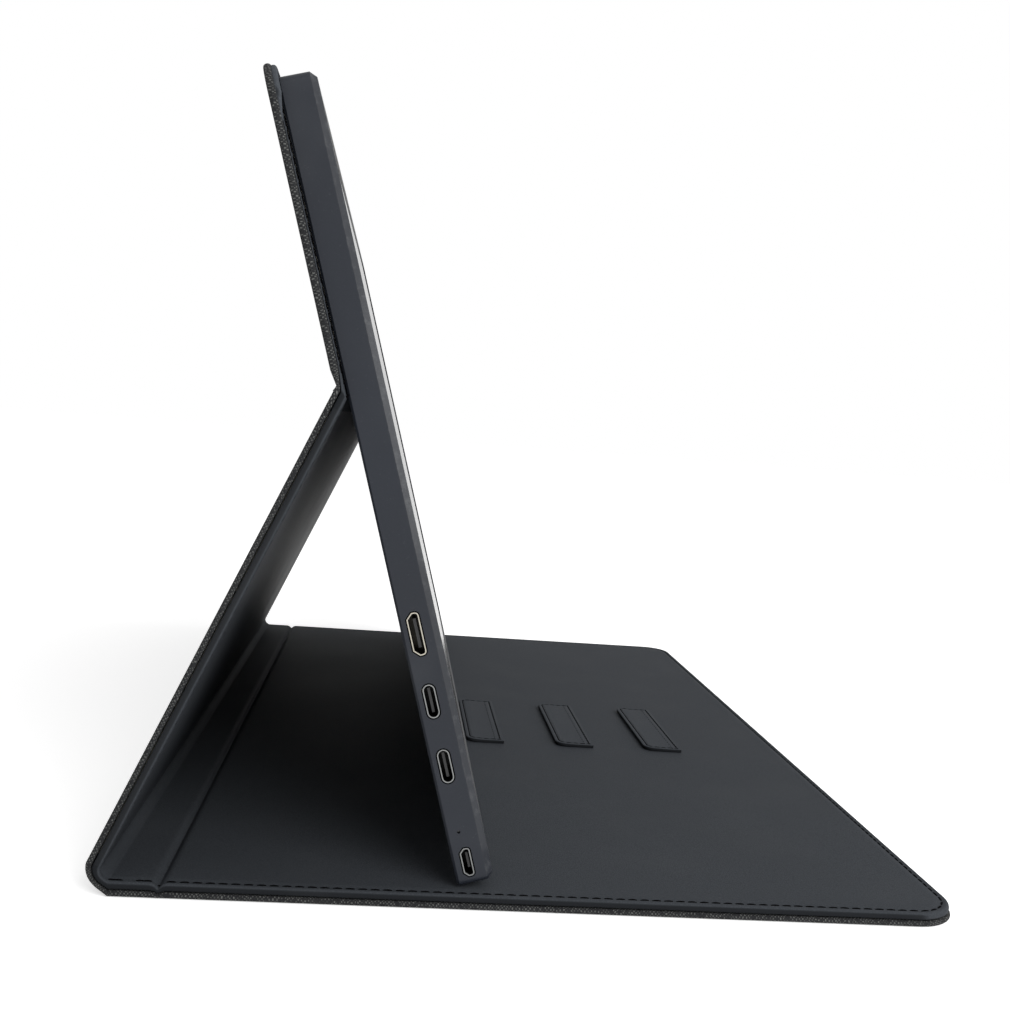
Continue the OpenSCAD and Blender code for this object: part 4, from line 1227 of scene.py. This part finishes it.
class MONITOR_OT_inside(bpy.types.Operator):
    """Finish the pieces inside the monitor and the cover"""

    bl_idname = "portable_monitor.inside"
    bl_label = "Inner pieces"

    def execute(self, context):
        dress(board_core_material(), "base_board", "spine_board", "leg_board", "upper_board")
        dress(metal_material("Magnet plating", (0.7, 0.7, 0.72), 0.2), "closure_magnets")
        dress(moulded_material("Glue sheet", (0.5, 0.47, 0.4), 0.75, 900, 200, 0.00003), "glue_sheet")
        dress(moulded_material("White film", (0.8, 0.8, 0.78), 0.55), "diffuser", "reflector")
        dress(moulded_material("Light guide", (0.62, 0.68, 0.72), 0.12), "light_guide")
        dress(moulded_material("Light bar", (0.75, 0.66, 0.32), 0.5, 1200, 500), "light_bar")
        steel = metal_material("Steel sheet", (0.55, 0.56, 0.58), 0.4)
        dress(steel, "screen_plate", "shield_can", "board_screws")
        dress(board_material(), "driver_board", "main_board", "button_board")
        dress(moulded_material("Chip", (0.018, 0.018, 0.02), 0.5, 5000, 400), "board_chips")
        speaker = moulded_material("Speaker", (0.022, 0.022, 0.024), 0.6, 2000, 120)
        dress(speaker, "speaker_left", "speaker_right")
        dress(ribbon_material(), "screen_ribbon", "backlight_ribbon", "button_ribbon")
        dress(moulded_material("Lead", (0.28, 0.02, 0.02), 0.45), "speaker_leads")
        dress(metal_material("Switch", (0.6, 0.61, 0.63), 0.3), "button_switches")
        return {"FINISHED"}


def seen_ray(kit):
    """1 where the camera sees a surface, directly or in a mirror or a pane."""
    path = kit.add("ShaderNodeLightPath").outputs
    mirrored = kit.math("MAXIMUM", path["Is Glossy Ray"], path["Is Transmission Ray"])
    return kit.math("MAXIMUM", path["Is Camera Ray"], mirrored)


class STAGE_OT_studio(bpy.types.Operator):
    """Set up the floor, the lamps and the camera"""

    bl_idname = "portable_monitor.studio"
    bl_label = "Studio"

    floor_half = 6.0
    floor_z = -0.0002
    # name, place, target, diameter and the property with the power
    lamps = (("Key", (-0.8, -0.45, 0.58), (0, 0, 0.05), 0.8, "key_power"),
             ("Front", (0.1, -1.3, 0.5), (0, 0, 0.08), 0.7, "fill_power"))

    def execute(self, context):
        look = context.scene.stage_looks
        self.floor(look)
        self.world(look)
        for name, place, target, size, power in self.lamps:
            self.lamp(name, place, target, size, getattr(look, power))
        self.camera(look)
        context.scene.view_settings.view_transform = "Standard"
        return {"FINISHED"}

    def floor(self, look):
        mesh = bpy.data.meshes.new("floor")
        s, z = self.floor_half, self.floor_z
        mesh.from_pydata([(-s, -s, z), (s, -s, z), (s, s, z), (-s, s, z)], [], [(0, 1, 2, 3)])
        floor = new_object("floor", mesh)
        material = bpy.data.materials.new("Studio floor")
        material.use_nodes = True
        kit = Nodes(material.node_tree)
        material.node_tree.nodes.clear()
        diffuse = kit.add("ShaderNodeBsdfDiffuse", {"Color": rgba(look.floor_colour)})
        glow = kit.add("ShaderNodeEmission", {"Strength": kit.times(seen_ray(kit), look.floor_glow)})
        both = kit.add("ShaderNodeAddShader", {0: diffuse, 1: glow})
        kit.add("ShaderNodeOutputMaterial", {"Surface": both})
        mesh.materials.append(material)

    def world(self, look):
        world = bpy.data.worlds.new("Studio world")
        bpy.context.scene.world = world
        world.use_nodes = True
        kit = Nodes(world.node_tree)
        world.node_tree.nodes.clear()
        strength = kit.scaled(seen_ray(kit), 1.0 - look.ambient, look.ambient)
        back = kit.add("ShaderNodeBackground", {"Color": (1, 1, 1, 1), "Strength": strength})
        kit.add("ShaderNodeOutputWorld", {"Surface": back})

    def lamp(self, name, place, target, size, power):
        data = bpy.data.lights.new(name, "AREA")
        data.shape, data.size, data.energy = "DISK", size, power
        obj = new_object(name, data)
        obj.location = place
        obj.rotation_mode = "QUATERNION"
        obj.rotation_quaternion = (Vector(target) - Vector(place)).to_track_quat("-Z", "Y")

    def camera(self, look):
        data = bpy.data.cameras.new("Camera")
        data.sensor_width, data.lens = 36.0, look.camera_lens
        data.clip_start, data.clip_end = 0.01, 50
        camera = new_object("Camera", data)
        yaw, pitch, roll = look.camera_yaw, -look.camera_pitch, look.camera_roll
        level = Vector((cos(yaw), -sin(yaw), 0))
        right = Vector((-sin(yaw), -cos(yaw), 0))
        forward = level * cos(pitch) + Vector((0, 0, sin(pitch)))
        up = level * -sin(pitch) + Vector((0, 0, cos(pitch)))
        across = right * cos(roll) + up * sin(roll)
        upright = up * cos(roll) - right * sin(roll)
        facing = Matrix((across, upright, -forward)).transposed().to_4x4()
        camera.matrix_world = Matrix.Translation(look.camera_place) @ facing
        bpy.context.scene.camera = camera


class VIEW3D_PT_portable_monitor(bpy.types.Panel):
    """Lists the steps that make the looks"""

    bl_label = "Portable monitor"
    bl_idname = "VIEW3D_PT_portable_monitor"
    bl_space_type = "VIEW_3D"
    bl_region_type = "UI"
    bl_category = "Monitor Cover"

    def draw(self, context):
        for step in STEPS:
            self.layout.operator(step.bl_idname)
        for name, _ in LOOKS:
            box = self.layout.box()
            looks = getattr(context.scene, name)
            for key in looks.bl_rna.properties.keys():
                if key not in ("rna_type", "name"):
                    box.prop(looks, key)


STEPS = (COVER_OT_outer, COVER_OT_lining, COVER_OT_top_roll, COVER_OT_stitches, COVER_OT_tabs,
         MONITOR_OT_body, MONITOR_OT_sockets, MONITOR_OT_inside, STAGE_OT_studio)
LOOKS = (("cover_looks", CoverLooks), ("monitor_looks", MonitorLooks), ("stage_looks", StageLooks))


def register():
    for name, looks in LOOKS:
        bpy.utils.register_class(looks)
        setattr(bpy.types.Scene, name, PointerProperty(type=looks))
    for step in STEPS:
        bpy.utils.register_class(step)
    bpy.utils.register_class(VIEW3D_PT_portable_monitor)


def unregister():
    bpy.utils.unregister_class(VIEW3D_PT_portable_monitor)
    for step in reversed(STEPS):
        bpy.utils.unregister_class(step)
    for name, looks in reversed(LOOKS):
        delattr(bpy.types.Scene, name)
        bpy.utils.unregister_class(looks)


def main():
    register()
    check_layout()
    for step in ("outer_cover", "lining", "top_roll", "stitches", "tabs",
                 "body", "sockets", "inside", "studio"):
        getattr(bpy.ops.portable_monitor, step)()


if __name__ == "__main__":
    main()
